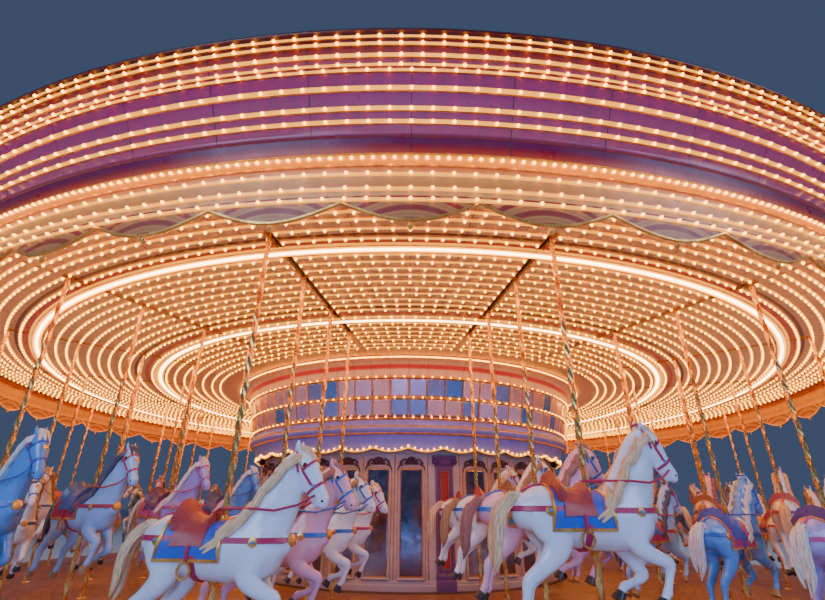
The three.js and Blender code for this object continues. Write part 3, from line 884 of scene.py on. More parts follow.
# carving beside a shell: points (across, up, half thickness), and its distance from the wall
scrolls = (([(0.086, 0.104, 0.010), (0.122, 0.098, 0.015), (0.158, 0.074, 0.018), (0.180, 0.036, 0.017),
             (0.168, 0.006, 0.015), (0.142, 0.004, 0.012), (0.134, 0.028, 0.011), (0.154, 0.038, 0.009)], 0.036),
           ([(0.168, 0.012, 0.014), (0.198, -0.010, 0.014), (0.216, -0.046, 0.010), (0.220, -0.084, 0.003)], 0.044))
pilaster = {
    "half": 0.14, "low": 0.63, "high": 2.13,
    "shaft": [(0, -0.01), (0, 0.045), (0.05, 0.045), (0.058, 0.05), (0.066, 0.045), (0.08, 0.045), (0.086, 0.03),
              (0.086, -0.01)],
    "foot": [(0.4207, 0.1475, 0.06), (0.55, 0.1475, 0.06), (0.565, 0.143, 0.052), (0.6, 0.1475, 0.06),
             (0.62, 0.145, 0.052), (0.64, 0.14, 0.045)],
    "capital": [(2.12, 0.143, 0.046), (2.135, 0.152, 0.058), (2.15, 0.148, 0.05), (2.18, 0.155, 0.054),
                (2.25, 0.186, 0.06), (2.258, 0.2, 0.062), (2.276, 0.2, 0.062), (2.29, 0.19, 0.055)],
    "inset": [(0.71, 0.056, 0.031), (2.05, 0.056, 0.031)],
    "volute": [(0.05, 0.0), (0.054, 0.012), (0.046, 0.02), (0.04, 0.012), (0.034, 0.024), (0.026, 0.016),
               (0.02, 0.03), (0.0, 0.036)],
    "voluteSide": 0.155, "voluteZ": 2.2, "front": 0.045, "shell": (0.085, 0.09, 2.15), "shellRibs": (5, 0.028),
    # trim: profile, half width, foot, top and distance from the wall
    "trims": (([(0, 0.0), (0.002, 0.008), (0.008, 0.008), (0.01, 0.0)], 0.066, 0.7, 2.06, 0.043),
              ([(0, 0.0), (0.001, 0.006), (0.005, 0.006), (0.006, 0.0)], 0.13, 0.64, 2.12, 0.04))}
facing = Matrix.Rotation(pi / 2, 3, "X")  # local z looks along -Y


# a moulding of (inset, proud) pairs mitred round a rectangle that looks along -Y; bend rounds its upper corners
def frameShape(profile, half, low, high, face, bend=0.0):
    corners = [(-half, low, 1, 1), (half, low, -1, 1)]
    if bend:
        turns = [radians(22.5 * i) for i in range(5)]
        arc = [(half - bend + bend * cos(turn), high - bend + bend * sin(turn), -cos(turn),
                -sin(turn)) for turn in turns]
        corners += arc + [(-x, z, -across, up) for x, z, across, up in reversed(arc)]
    else:
        corners += [(half, high, -1, -1), (-half, high, 1, -1)]
    return loft([[(x + across * inset, -(face + proud), z + up * inset) for inset, proud in profile]
                 for x, z, across, up in corners], True, True)


# rectangles stacked upwards against a face: (height, half width, proud) levels
def stackShape(levels, face):
    back = -(face - 0.01)
    return loft([[(-half, -(face + proud), z), (half, -(face + proud), z), (half, back, z), (-half, back, z)]
                 for z, half, proud in levels])


def shellShape(half, rise, foot, face, ribs, deep):
    back = -(face - 0.01)
    vertices, faces = [(0, -(face + 0.028), foot + 0.012), (0, back, foot)], []
    for i in range(2 * ribs + 1):
        turn = pi * i / (2 * ribs)
        reach, proud = (1.0, deep) if i % 2 else (0.88, deep * 0.62)
        x, z = half * reach * cos(turn), foot + rise * reach * sin(turn)
        vertices += [(x, -(face + proud), z), (x, back, z)]
    for a in range(2, 4 * ribs + 2, 2):
        b = a + 2
        faces += [(0, a, b), (a, a + 1, b + 1, b), (1, b + 1, a + 1)]
    last = len(vertices) - 2
    return vertices, faces + [(0, 1, 3, 2), (0, last, last + 1, 1)]


def makeWallPaint():
    finish = Finish("wallPaint", 0.4)
    x, y, z = finish.split()
    # the paint is darker towards the foot of the wall
    darkerTowardsFoot = (z + finish.noise(5, 6.0, 0.65) * 0.5).span(0.6, 1.1, 0.5, 0.0)
    return finish.painted(darkerTowardsFoot.mix((0.6, 0.5, 0.5), (0.2, 0.14, 0.14)), 0.3, 5.0)


def makeWallMirror():
    finish = Finish("wallMirror", 0.1, 1.0)
    age = finish.noise(6, 6.0, 0.7)
    tint = finish.noise(0.9, 2.0).ramp([(0.35, (0.26, 0.3, 0.46)), (0.5, (0.34, 0.28, 0.38)),
                                        (0.65, (0.42, 0.26, 0.3))])
    colour = age.stain(tint, (0.2, 0.13, 0.1), 0.58, 0.8, 0.7)
    return finish.dress(colour, age.span(0.4, 0.8, 0.08, 0.32), finish.noise(1.5, 1.0), 0.16, 0.03)


def makeShell():
    face, top = wall["face"], wall["frameHigh"]
    shapes = [shellShape(half, rise, top + foot, face, ribs, deep) for half, rise, foot, ribs, deep in shells]
    for side in (-1, 1):
        for stem, out in scrolls:
            points = [(side * x, -(face + out), top + z, size, size * 1.5) for x, z, size in stem]
            shapes.append(limb(points, 6, 1, 0.5, True, (0, 1, 0)))
    return shapes


def makeWall():
    cream, violet = makeWallPaint(), makeTint("violetPaint", (0.13, 0.05, 0.2))
    brown, red = makeTint("shellBrown", (0.13, 0.055, 0.07), 0.3, 0.6, 20.0), makeTint("redPaint", (0.42, 0.03, 0.03))
    start, bay, face = wall["firstPilaster"] - wall["bay"] / 2, wall["bay"], wall["face"]
    inner, outer, low, high = wall["radius"] - 0.06, wall["radius"], wall["low"], wall["high"]
    outlines = [[(inner, low), (outer, low), (outer, high), (inner, high)], wall["foot"], wall["cornice"]]
    shapePiece("mirror_wall", [sweepRound(outline, wall["bays"], start, start + 360) for outline in outlines],
               [cream], "wall_paint", *[f"wall_panel_{j}" for j in (1, 2, 3, 4)], smooth=20, body="centre")
    places = [start + bay * (k + 0.5) for k in range(wall["bays"])]
    pilasters = [copyAt(angle) for angle in places[::wall["pilasterEvery"]]]
    framed = [copyAt(angle) for i, angle in enumerate(places) if i % wall["pilasterEvery"]]
    edges = [copyAt(angle + bay / 2) for angle in places]

    def place(name, shapes, copies, material, slot="wall_paint", smooth=35):
        copiedPiece(name, shapes, copies, material, slot, smooth, "centre")

    # a moulding round the mirror's frame, outside it by a margin or, where that is negative, inside it
    def framing(profile, margin, proud, bend=0.0):
        return frameShape(profile, wall["frameHalf"] + margin, wall["frameLow"] - margin, wall["frameHigh"] + margin,
                          face + proud, bend)

    half, frameLow, frameHigh, glassIn = (wall[key] for key in ("frameHalf", "frameLow", "frameHigh", "glassInset"))
    topBlock = [(frameHigh - 0.006, half * 0.66, 0.036), (frameHigh + 0.004, half * 0.7, 0.054),
                (frameHigh + 0.016, half * 0.66, 0.046)]
    border = framing(wall["moulding"], 0, 0, wall["frameBend"])
    place("mirror_frames", [border, stackShape(topBlock, face)], framed, cream)
    lines = [framing(wall["innerLine"], -0.041, 0.02), framing(wall["outerLine"], 0.012, 0, 0.088)]
    place("mirror_frame_lines", lines, framed, gilt, "gilt")
    pane = [(z, half - glassIn, wall["glassProud"]) for z in (frameLow + glassIn, frameHigh - glassIn)]
    glass = [framing(wall["bevel"], -0.037, 0), stackShape(pane, face)]
    place("wall_mirrors", glass, framed, makeWallMirror(), "mirror_glass", 0)
    place("mirror_shells", makeShell(), framed, brown, smooth=30)
    seam = ridge(wall["baySeam"], wall["seamZ"], lambda z, across, proud: (across, -(outer + proud - 0.004), z))
    place("wall_bay_beads", [seam], edges, gilt, "gilt", 50)
    shaft = [frameShape(pilaster["shaft"], pilaster["half"], pilaster["low"], pilaster["high"], face),
             stackShape(pilaster["foot"], face), stackShape(pilaster["capital"], face)]
    place("pilasters", shaft, pilasters, violet)
    place("pilaster_insets", [stackShape(pilaster["inset"], face)], pilasters, red, smooth=0)
    volute, front = turnedShape(pilaster["volute"], 16), face + pilaster["front"]
    volutes = [moved(volute, facing, (side * pilaster["voluteSide"], -front, pilaster["voluteZ"]))
               for side in (-1, 1)]
    volutes.append(shellShape(*pilaster["shell"], front, *pilaster["shellRibs"]))
    place("pilaster_volutes", volutes, pilasters, violet)
    trims = [frameShape(profile, *size, face + out) for profile, *size, out in pilaster["trims"]]
    place("pilaster_trim", trims, pilasters, gilt, "gilt")


makeWall()
print("stage: mirror wall")


# deck: boards in rings, a nosing, and a skirt of moulded panels
deck = {
    "facets": 36, "outer": 8.15, "face": 8.119, "skirtLow": 0.06, "skirtHigh": 0.3297, "board": 0.118,
    "nosing": [(8.11, 0.3985), (8.151, 0.386), (8.16, 0.39), (8.162, 0.402), (8.152, 0.409), (8.11, 0.405)],
    "underNosing": [(8.1, 0.33), (8.151, 0.333), (8.158, 0.34), (8.158, 0.372), (8.15, 0.38), (8.1, 0.384)],
    "frame": [(0, -0.004), (0, 0.014), (0.01, 0.02), (0.022, 0.014), (0.03, 0.005), (0.034, -0.004)],
    "field": [(0.112, 0.645, 0.004), (0.281, 0.645, 0.004)],
    "diamond": ((0.2, 0, 0), (0, 0, 0.093), (-0.2, 0, 0), (0, 0, -0.093), (0, 0.022, 0), (0, -0.005, 0)),
    "diamondZ": 0.197, "skirtThick": 0.05, "frameHalf": 0.685, "frameLow": 0.075, "frameHigh": 0.318}


def makeDeckBoards():
    finish = Finish("deckBoards", 0.42)
    radius, angle, z = finish.polar()
    course = (radius / deck["board"]).work("FLOOR")
    along = angle + 720.0 + finish.cell(course) * 20.0
    gaps = along.lines(20.0, 0.05).work("MAXIMUM", radius.lines(deck["board"], 0.006))
    plank = finish.cell(course * 37.0 + ((along + 10.0) / 20.0).work("FLOOR"))
    grain = finish.noise(5, 6.0, 0.65, finish.vector(angle * 0.35, radius * 9.0, plank))
    worn = finish.noise(1.2, 4.0, 0.6)
    colour = grain.stain((0.4, 0.19, 0.09), (0.14, 0.06, 0.03), 0.3, 0.72)
    colour = plank.stain(colour, (0.2, 0.09, 0.05), 0.0, 1.0, 0.45)
    colour = worn.stain(colour, (0.42, 0.3, 0.2), 0.5, 0.75, 0.5)
    colour = gaps.mix(colour, (0.02, 0.012, 0.01))
    return finish.dress(colour, worn.span(0.4, 0.75, 0.3, 0.65), grain * 0.4 - gaps, 0.5, 0.004)


def makeDeck():
    paintNodes(makeDeckBoards(), "deck_1", "deck_2", "deck_3")
    steel = makeTint("darkSteel", (0.05, 0.05, 0.06), 0.5, 0.5, 9.0)
    paintNodes(steel, "base_platform", "running_track", "mast", "hub", "deck_bearer")
    paintNodes(makeTint("plinthWood", (0.2, 0.09, 0.05), 0.45, 0.5, 9.0), "plinth")
    outer, face, low, high, facets = (deck[key] for key in ("outer", "face", "skirtLow", "skirtHigh", "facets"))
    ringPiece("deck_nosing", [deck["nosing"], deck["underNosing"]], gilt, "gilt", segments=facets, smooth=20)
    inner = outer - deck["skirtThick"]
    board = [(inner, low), (outer, low), (outer, high), (inner, high)]
    ringPiece("deck_skirt_boards", [board], makeTint("skirtViolet", (0.16, 0.05, 0.2)), "crown_paint", "deck_skirt",
              segments=facets, smooth=20)
    copies = [copyAt((k + 0.5) * 360 / facets) for k in range(facets)]
    diamond = ([(x, -(face + proud), deck["diamondZ"] + z) for x, proud, z in deck["diamond"]],
               [(0, 1, 4), (1, 2, 4), (2, 3, 4), (3, 0, 4), (1, 0, 5), (2, 1, 5), (3, 2, 5), (0, 3, 5)])
    border = frameShape(deck["frame"], deck["frameHalf"], deck["frameLow"], deck["frameHigh"], face)
    copiedPiece("deck_skirt_mouldings", [border, diamond], copies, gilt, "gilt", 30)
    copiedPiece("deck_skirt_fields", [stackShape(deck["field"], face)], copies,
                makeTint("skirtRed", (0.36, 0.03, 0.04)), "crown_paint", 0)


makeDeck()
print("stage: deck")


# roof: striped canvas stretched over the ribs, with welted seams
roof = {"gores": 36, "eave": (8.54, 4.6403), "crest": (0.4303, 6.52), "sag": 0.05, "thick": 0.003, "rings": 9,
        "steps": 6, "welt": ((-0.02, -0.004), (-0.014, 0.008), (0.014, 0.008), (0.02, -0.004)),
        "eaveBoard": [(8.478, 4.5903), (8.536, 4.5903), (8.5385, 4.60), (8.5385, 4.634), (8.478, 4.634)]}


def roofHeight(radius, share=0.0):
    (eaveR, eaveZ), (crestR, crestZ) = roof["eave"], roof["crest"]
    along = (eaveR - radius) / (eaveR - crestR)
    bag = roof["sag"] * sin(pi * share) * sin(pi * min(1.0, 0.12 + 0.88 * along))
    return eaveZ + (crestZ - eaveZ) * along - bag * (1 - 0.6 * along)


def makeCanvas():
    finish = Finish("roofCanvas", 0.75)
    radius, angle, z = finish.polar()
    stripe = (angle + 725.0).work("PINGPONG", 10.0).above(5.0)
    weave, dirt = finish.noise(220, 2.0), finish.noise(1.6, 6.0, 0.65)
    colour = stripe.mix((0.18, 0.05, 0.27), (0.84, 0.72, 0.58))
    colour = dirt.stain(colour, (0.2, 0.15, 0.13), 0.45, 0.75, 0.35)
    colour = weave.stain(colour, (0.08, 0.05, 0.06), 0.3, 0.7, 0.2)
    finish.set("Sheen Weight", 0.2)
    return finish.dress(colour, dirt.span(0.3, 0.7, 0.65, 0.9), weave + dirt * 2.0, 0.3, 0.004)


def makeRoof():
    (eaveR, eaveZ), (crestR, crestZ) = roof["eave"], roof["crest"]
    radii = [eaveR + (crestR - eaveR) * i / roof["rings"] for i in range(roof["rings"] + 1)]
    gore = 360 / roof["gores"]

    def canvas(angle):
        top = [(r, roofHeight(r, (angle % gore) / gore)) for r in radii]
        return [(r, z - roof["thick"]) for r, z in reversed(top)] + top

    made = ringPiece("roof_canvas", [canvas], makeCanvas(), "canvas", "roof_1", "roof_2", "roof_3",
                     segments=roof["gores"] * roof["steps"], smooth=30)
    welts = [ridge(roof["welt"], (eaveR - 0.02, crestR + 0.02), lambda r, across, proud: polarPoint(
        r, k * gore + degrees(across / r), roofHeight(r) + proud)) for k in range(roof["gores"])]
    shapePiece("roof_welts", welts, [makeTint("weltViolet", (0.1, 0.03, 0.16), 0.7)], "canvas", smooth=0)
    ringPiece("roof_eave_board", [roof["eaveBoard"]], gilt, "gilt")


# gilt finial: a lobed onion on a stepped foot
finial = {"foot": 6.5203, "lobes": 16, "onionZ": 0.41, "onionHalf": 0.24, "lobeDepth": 0.05, "outline": [
    (0.0, 0.0), (0.558, 0.0), (0.56, 0.02), (0.545, 0.04), (0.53, 0.045), (0.528, 0.07), (0.50, 0.09), (0.38, 0.1),
    (0.28, 0.13), (0.24, 0.16), (0.232, 0.19), (0.25, 0.215), (0.285, 0.27), (0.318, 0.34), (0.33, 0.41),
    (0.318, 0.48), (0.28, 0.55), (0.21, 0.61), (0.145, 0.66), (0.115, 0.69), (0.13, 0.705), (0.13, 0.725),
    (0.105, 0.74), (0.08, 0.78), (0.068, 0.86), (0.085, 0.9), (0.085, 0.925), (0.06, 0.945), (0.05, 0.99),
    (0.034, 1.05), (0.0, 1.079)]}


def makeFinial():
    foot, rings = finial["foot"], []
    for r, z in finial["outline"][1:-1]:
        lobed = finial["lobeDepth"] * max(0.0, 1 - abs(z - finial["onionZ"]) / finial["onionHalf"])
        ring = []
        for turn in around(finial["lobes"] * 6):
            wide = r * (1 - lobed * (1 - abs(cos(turn * finial["lobes"] / 2))))
            ring.append((wide * cos(turn), wide * sin(turn), foot + z))
        rings.append(ring)
    tips = [[(0, 0, foot + finial["outline"][i][1])] for i in (0, -1)]
    shapePiece("finial_gilt", [loft([tips[0], *rings, tips[1]])], [gilt], "gilt", "finial")


makeRoof()
makeFinial()
print("stage: roof and finial")


# horses: one carved jumper, leaping with all its feet off the deck, copied to every place of every rank
# x points outward from the ride's axis, y forward and z up from the middle of the barrel
# the tables are in millimetres; a limb's rows are (x, y, z, half depth, half width), and the spine's have no x
horse = {"high": 1.35, "sizes": (1.0, 0.94, 0.88, 0.82), "voxel": 0.0105, "faces": 2700, "softened": 5}
spine = {
    "torso": [(455, 30, 75, 65), (385, 20, 165, 125), (250, 0, 200, 152), (80, -15, 190, 160), (-100, -18, 172, 158),
              (-250, 10, 176, 156), (-380, 45, 172, 152), (-475, 45, 125, 118)],
    "neck": [(250, 50, 175, 120), (330, 175, 178, 105), (395, 310, 156, 86), (440, 430, 130, 73), (490, 520, 105, 65),
             (535, 555, 85, 60)],
    "head": [(490, 575, 60, 50), (540, 535, 94, 70), (595, 465, 88, 64), (642, 395, 64, 48), (678, 340, 53, 42),
             (703, 300, 52, 45), (716, 272, 38, 36)],
    "jaw": [(515, 475, 50, 50), (550, 430, 46, 40), (600, 365, 32, 30), (645, 300, 24, 28), (665, 265, 22, 26)]}
legs = {
    "foreNear": [(85, 290, -20, 115, 70), (98, 265, -140, 78, 55), (98, 330, -205, 58, 48), (95, 430, -245, 46, 40),
                 (93, 475, -270, 44, 39), (92, 465, -330, 30, 27), (92, 440, -395, 27, 25), (92, 425, -430, 34, 31),
                 (92, 400, -460, 27, 26), (92, 390, -475, 32, 30)],
    "foreOff": [(-85, 280, -20, 115, 70), (-98, 255, -140, 78, 55), (-98, 300, -225, 58, 48),
                (-95, 365, -310, 45, 40), (-93, 390, -350, 44, 39), (-92, 340, -385, 30, 27),
                (-92, 280, -405, 27, 25), (-92, 240, -415, 34, 31), (-92, 210, -440, 27, 26),
                (-92, 202, -455, 32, 30)],
    "hindNear": [(80, -360, 30, 150, 85), (95, -315, -100, 125, 72), (100, -330, -190, 88, 56),
                 (98, -420, -275, 58, 42), (96, -505, -335, 46, 36), (95, -535, -365, 44, 35),
                 (94, -550, -430, 31, 27), (93, -565, -495, 29, 26), (93, -575, -530, 36, 32),
                 (93, -600, -560, 28, 27), (93, -608, -572, 33, 31)],
    "hindOff": [(-80, -350, 30, 150, 85), (-95, -295, -110, 125, 72), (-100, -285, -210, 86, 56),
                (-98, -350, -310, 58, 42), (-96, -425, -375, 46, 36), (-95, -450, -405, 44, 35),
                (-94, -455, -465, 31, 27), (-93, -465, -525, 29, 26), (-93, -475, -555, 36, 32),
                (-93, -500, -585, 28, 27), (-93, -508, -597, 33, 31)]}
# the way that each hoof's sole looks: its forward and its upward part
hoofTurns = {"foreNear": (-0.42, -0.91), "foreOff": (-0.55, -0.83), "hindNear": (-0.62, -0.78),
             "hindOff": (-0.62, -0.78)}
# eye ridges, nostrils, breast and ears, on both sides: (rows, sides, steps, ends)
features = (([(50, 555, 500, 58, 22), (44, 585, 455, 45, 16)], 12, 1, 0.8),
            ([(26, 700, 292, 18, 16), (24, 705, 280, 16, 14)], 10, 1, 0.8),
            ([(50, 360, -20, 100, 60), (60, 310, 50, 110, 65)], 12, 1, 0.8),
            ([(30, 505, 620, 26, 16), (40, 500, 665, 20, 12), (40, 508, 700, 6, 6)], 10, 2, 0.4))
mane = {"crest": [(515, 635), (455, 600), (390, 540), (325, 450), (270, 360), (215, 285), (150, 225)],
        "long": 0.20, "longer": 0.10, "offSideLess": 0.04, "side": 0.14, "lift": 0.016, "wave": 0.022,
        "steps": ((0.3, 1.1), (0.62, 0.95), (0.88, 0.6)), "deep": 0.033, "wide": 0.022}
# each lock has its side and how far it lies ahead, and its rows are
# (share of the side, y, share of the way ahead, z, half depth, half width)
forelock = {"locks": ((0.020, 0.0), (-0.022, 0.008), (0.0, 0.016)),
            "rows": ((0.3, 0.50, 0, 0.650, 0.026, 0.020), (1, 0.558, 1, 0.630, 0.026, 0.018),
                     (1.6, 0.612, 1, 0.560, 0.018, 0.013), (1.8, 0.632, 1, 0.505, 0.006, 0.005))}
rein = [(50, 660, 330, 8, 6), (85, 560, 270, 8, 6), (130, 420, 235, 8, 6), (128, 280, 245, 8, 6),
        (85, 120, 245, 8, 6), (20, -30, 245, 8, 6)]
cheek = [(90, 545, 530), (90, 570, 475), (90, 600, 430), (90, 630, 385)]
# straps round the body: (centre, first way, second way, low and high angle, steps, width, thickness, closed)
noseUp = Vector((0, 0.58, -0.81)).normalized().cross(Vector((1, 0, 0)))
girths = (((0, -100, -20), (0, 0, 1), (1, 0, 0), 95, 265, 10, 45, 12, False),
          ((0, 200, 55), (0, 1, 0), (1, 0, 0), -140, 140, 26, 36, 12, False),
          ((0, -300, 60), (0, -1, 0), (1, 0, 0), -122, 122, 20, 36, 11, False),
          ((0, -300, 20), (0, 0, 1), (0, -1, 0), 5, 62, 5, 30, 12, False),
          ((0, 645, 375), (1, 0, 0), noseUp, 0, 360, 10, 20, 8, True),
          ((0, 575, 500), (1, 0, 0), (0, 0.75, 0.66), -5, 185, 7, 18, 8, False),
          ((0, 520, 530), (1, 0, 0), (0, -0.25, 0.97), -40, 220, 9, 18, 8, False))


# small turned parts: outline and sides
turned = {"hoof": ([(0.030, -0.012), (0.036, 0.002), (0.048, 0.052), (0.0, 0.056)], 8),
          "eye": ([(0.017, -0.004), (0.015, 0.006), (0.009, 0.011), (0, 0.013)], 8),
          "nostril": ([(0.010, -0.004), (0.009, 0.001), (0, 0.002)], 6),
          "collar": ([(0.042, -0.03), (0.046, 0.01), (0.034, 0.02), (0.031, 0.045), (0, 0.048)], 8)}
# bosses with a gem on top, on both sides: (y, z, size)
gemBosses = ((0.555, 0.525, 0.017), (0.31, 0.055, 0.034), (-0.38, 0.06, 0.032))
# grids on the back: (low, high, turn to the sides, rows, columns, flare), and how thick each is
saddle = {"cloth": (-0.33, 0.07, 112, 6, 13, 0.035), "clothThick": 0.012, "flaps": (-0.25, -0.045, 84, 4, 9, 0.02),
          "flapThick": 0.022, "seat": (-0.30, -0.04, 54, 8, 7), "seatThick": 0.018, "seatRise": 0.022,
          "cantle": (0.075, 0.2), "pommel": (0.05, 0.16)}


def inMetres(rows, side=1):
    return [(side * row[0] / 1000, *[number / 1000 for number in row[1:]]) for row in rows]


def carve(shape):
    piece = addObject("carving", shape, [], smooth=0)
    melt = piece.modifiers.new("melt", "REMESH")
    melt.mode = "VOXEL"
    melt.voxel_size = horse["voxel"]
    piece.modifiers.new("soften", "SMOOTH").iterations = horse["softened"]
    thin = piece.modifiers.new("thin", "DECIMATE")
    solid = frozen(piece)
    solid.calc_loop_triangles()
    thin.ratio = horse["faces"] / len(solid.loop_triangles)
    solid = frozen(piece)
    bpy.data.objects.remove(piece)
    return [tuple(vertex.co) for vertex in solid.vertices], [tuple(face.vertices) for face in solid.polygons]


# the skin of the carving, for everything that lies on it; it gives (point, normal) pairs
class Skin:
    def __init__(self, shape):
        self.tree = BVHTree.FromPolygons([Vector(vertex) for vertex in shape[0]], shape[1])

    def cast(self, centre, way):
        way = Vector(way).normalized()
        spot, normal, index, distance = self.tree.ray_cast(Vector(centre), way)
        return (Vector(centre), way) if spot is None else (spot, normal)

    def near(self, point):
        return self.tree.find_nearest(Vector(point))[:2]

    # points round a centre in the plane of two directions, angles from the first to the second
    def round(self, centre, first, second, low, high, count):
        first, second = Vector(first), Vector(second)
        turns = [radians(low + (high - low) * i / count) for i in range(count + 1)]
        return [self.cast(centre, first * cos(turn) + second * sin(turn)) for turn in turns]

    # a shape turned from local z to the skin's normal, on the point of the skin that is nearest
    def stud(self, point, outline, sides, lift=0.0):
        spot, normal = self.near(point)
        turn = normal.to_track_quat("Z", "Y").to_matrix()
        return moved(turnedShape(outline, sides), turn, spot + normal * lift)

    # a grid over the back, from low to high along it and turned to both sides; flare widens its sides
    def backGrid(self, low, high, turn, rows, columns, flare=0.0):
        grid = []
        for i in range(rows):
            row = []
            for j in range(columns):
                side = 2 * j / (columns - 1) - 1
                wider = flare * side * side
                y = low - wider + (high - low + 1.6 * wider) * i / (rows - 1)
                angle = radians(turn * side)
                row.append(self.cast((0, y, 0.0), (sin(angle), 0, cos(angle))))
            grid.append(row)
        return grid


# a strap along (point, normal) pairs; a closed one meets its own start
def strap(path, wide, thick, closed=False):
    if closed:
        path = path[:-1]
    rings, count = [], len(path)
    for i, (point, normal) in enumerate(path):
        before = i - 1 if closed else max(i - 1, 0)
        after = (i + 1) % count if closed else min(i + 1, count - 1)
        side = normal.cross(path[after][0] - path[before][0]).normalized() * wide / 2
        out, foot = normal * thick, normal * 0.004
        rings.append([point - side - foot, point - side * 0.92 + out, point + side * 0.92 + out, point + side - foot])
    vertices, faces = loft(rings, closed, True)
    return [tuple(vertex) for vertex in vertices], faces


# a closed shell over a grid of (point, normal) pairs, as thick as thickAt says, and the indices of its border
def blanket(grid, thickAt):
    rows, columns = len(grid), len(grid[0])
    outer, inner, faces, size = [], [], [], rows * columns
    for i, row in enumerate(grid):
        for j, (point, normal) in enumerate(row):
            outer.append(point + normal * thickAt(i / (rows - 1), j / (columns - 1)))
            inner.append(point - normal * 0.006)
            a = i * columns + j
            if i < rows - 1 and j < columns - 1:
                quad = (a, a + 1, a + columns + 1, a + columns)
                faces += [quad, tuple(size + v for v in reversed(quad))]
    border = [*range(columns), *range(2 * columns - 1, size, columns), *range(size - 2, size - columns - 1, -1),
              *range(size - 2 * columns, 0, -columns)]
    for a, b in zip(border, border[1:] + border[:1]):
        faces.append((b, a, size + a, size + b))
    return ([tuple(vertex) for vertex in outer + inner], faces), border


# locks of hair; each vertex also gets its place round and along its own lock, for the strands
def makeLocks(skin):
    locks, strands = [], []

    def grow(points, steps, ends):
        lock = limb(points, 6, steps, ends, True)
        for i in range(len(lock[0])):
            ring, side = divmod(i - 1, 6)
            strands.append((3.2 * abs(side / 3 - 1) + 7.3 * len(locks), 0.3 * ring, 0.0))
        locks.append(lock)

    def hanging(x, y, z, deep, wide):
        spot, normal = skin.near((x, y, z))
        return (*(spot + normal * mane["lift"]), deep, wide)

    roots = [(y, z, side) for y, z in curve(inMetres(mane["crest"]), 1) for side in (1, -1)]
    for i, (y, z, side) in enumerate(roots):
        x, less = side * mane["side"], mane["offSideLess"] if side < 0 else 0
        long = mane["long"] + mane["longer"] * sin(pi * i / (len(roots) - 1)) - less
        points = [(side * 0.004, y + 0.035, z - 0.035, 0.045, 0.020)]
        for step, bulk in mane["steps"]:
            back = y + 0.01 - 0.62 * long * step + mane["wave"] * sin(7 * step + 1.7 * i)
            points.append(hanging(x, back, z - long * step, mane["deep"] * bulk, mane["wide"] * bulk))
        tip = hanging(x, y - 0.02 - 0.78 * long + 0.03 * sin(1.7 * i), z - long * 1.08, 0.008, 0.007)
        grow(points + [tip], 1, 0.5)
    for side, ahead in forelock["locks"]:
        grow([(side * share, y + ahead * moves, z, deep, wide)
              for share, y, moves, z, deep, wide in forelock["rows"]], 1, 0.5)
    for i, side in enumerate((0.0, 0.034, -0.034, 0.018, -0.018)):
        drop = 0.030 * i - 0.06
        grow([(side * 0.2, -0.48, 0.125, 0.034, 0.028), (side * 0.7, -0.565, 0.14 - 0.012 * i, 0.042, 0.028),
              (side, -0.650, 0.06 + drop * 0.3, 0.042, 0.028), (side * 1.3, -0.690, -0.05 + drop * 0.5, 0.040, 0.026),
              (side * 1.2, -0.685 - 0.014 * (i % 3), -0.17 + drop, 0.030, 0.020),
              (side * 0.7, -0.725 - 0.008 * (i % 2), -0.27 + drop, 0.008, 0.007)], 2, 0.6)
    return join(locks), strands


# cloth and saddle on the back
def makeSaddle(skin, parts):
    cloth, border = blanket(skin.backGrid(*saddle["cloth"]), lambda i, j: saddle["clothThick"])
    parts["cloth"].append(cloth)
    rim = [Vector(cloth[0][v]) for v in border + border[:1]]
    parts["trim"].append(strap([(point, skin.near(point)[1]) for point in rim], 0.022, 0.006, True))

    def seat(i, j):
        side, (back, backLong), (front, frontLong) = 1 - (2 * j - 1) ** 2, saddle["cantle"], saddle["pommel"]
        rise = saddle["seatRise"] + back * exp(-(i / backLong) ** 2) + front * exp(-((1 - i) / frontLong) ** 2)
        return saddle["seatThick"] + side * rise

    parts["leather"].append(blanket(skin.backGrid(*saddle["flaps"]), lambda i, j: saddle["flapThick"])[0])
    parts["leather"].append(blanket(skin.backGrid(*saddle["seat"]), seat)[0])


# round bosses of gilt on the straps, some with a gem on top
def makeBosses(skin, parts):
    def boss(kind, point, size, sides=7):
        parts[kind].append(skin.stud(point, [(size, -0.004), (size * 0.94, size * 0.34), (0, size * 0.62)], sides))

    for side in (-1, 1):
        boss("gem", (side * 0.09, 0.645, 0.385), 0.014, 6)
        for y, z, size in gemBosses:
            boss("trim", (side * 0.2, y, z), size)
            gem = [(size * 0.45, 0.0), (size * 0.34, size * 0.35), (0, size * 0.42)]
            parts["gem"].append(skin.stud((side * 0.2, y, z), gem, 5, size * 0.4))
    boss("trim", (0, 0.5, 0.055), 0.042)
    boss("gem", (0, 0.52, 0.055), 0.024, 6)
    boss("trim", (0, 0.66, 0.50), 0.020)


def makeStraps(skin, parts):
    for centre, first, second, low, high, steps, wide, thick, closed in girths:
        path = skin.round(inMetres([centre])[0], first, second, low, high, steps)
        parts["strap"].append(strap(path, wide / 1000, thick / 1000, closed))
    for side in (-1, 1):
        leather = skin.round((0, -0.13, -0.01), (0, 0, 1), (side, 0, 0), 76, 112, 4)
        leather = [(point + normal * 0.014, normal) for point, normal in leather]
        foot = leather[-1][0] + Vector((side * 0.012, 0, 0))
        iron = [(foot + Vector((0, 0.045 * sin(turn), -0.05 + 0.05 * cos(turn))), Vector((side, 0, 0)))
                for turn in [radians(45 * k) for k in range(9)]]
        parts["strap"] += [strap([skin.near(point) for point in inMetres(cheek, side)], 0.018, 0.008),
                           limb(inMetres(rein, side), 4, 1, 0.5, True), strap(leather, 0.022, 0.012)]
        parts["trim"].append(strap(iron, 0.012, 0.010, True))


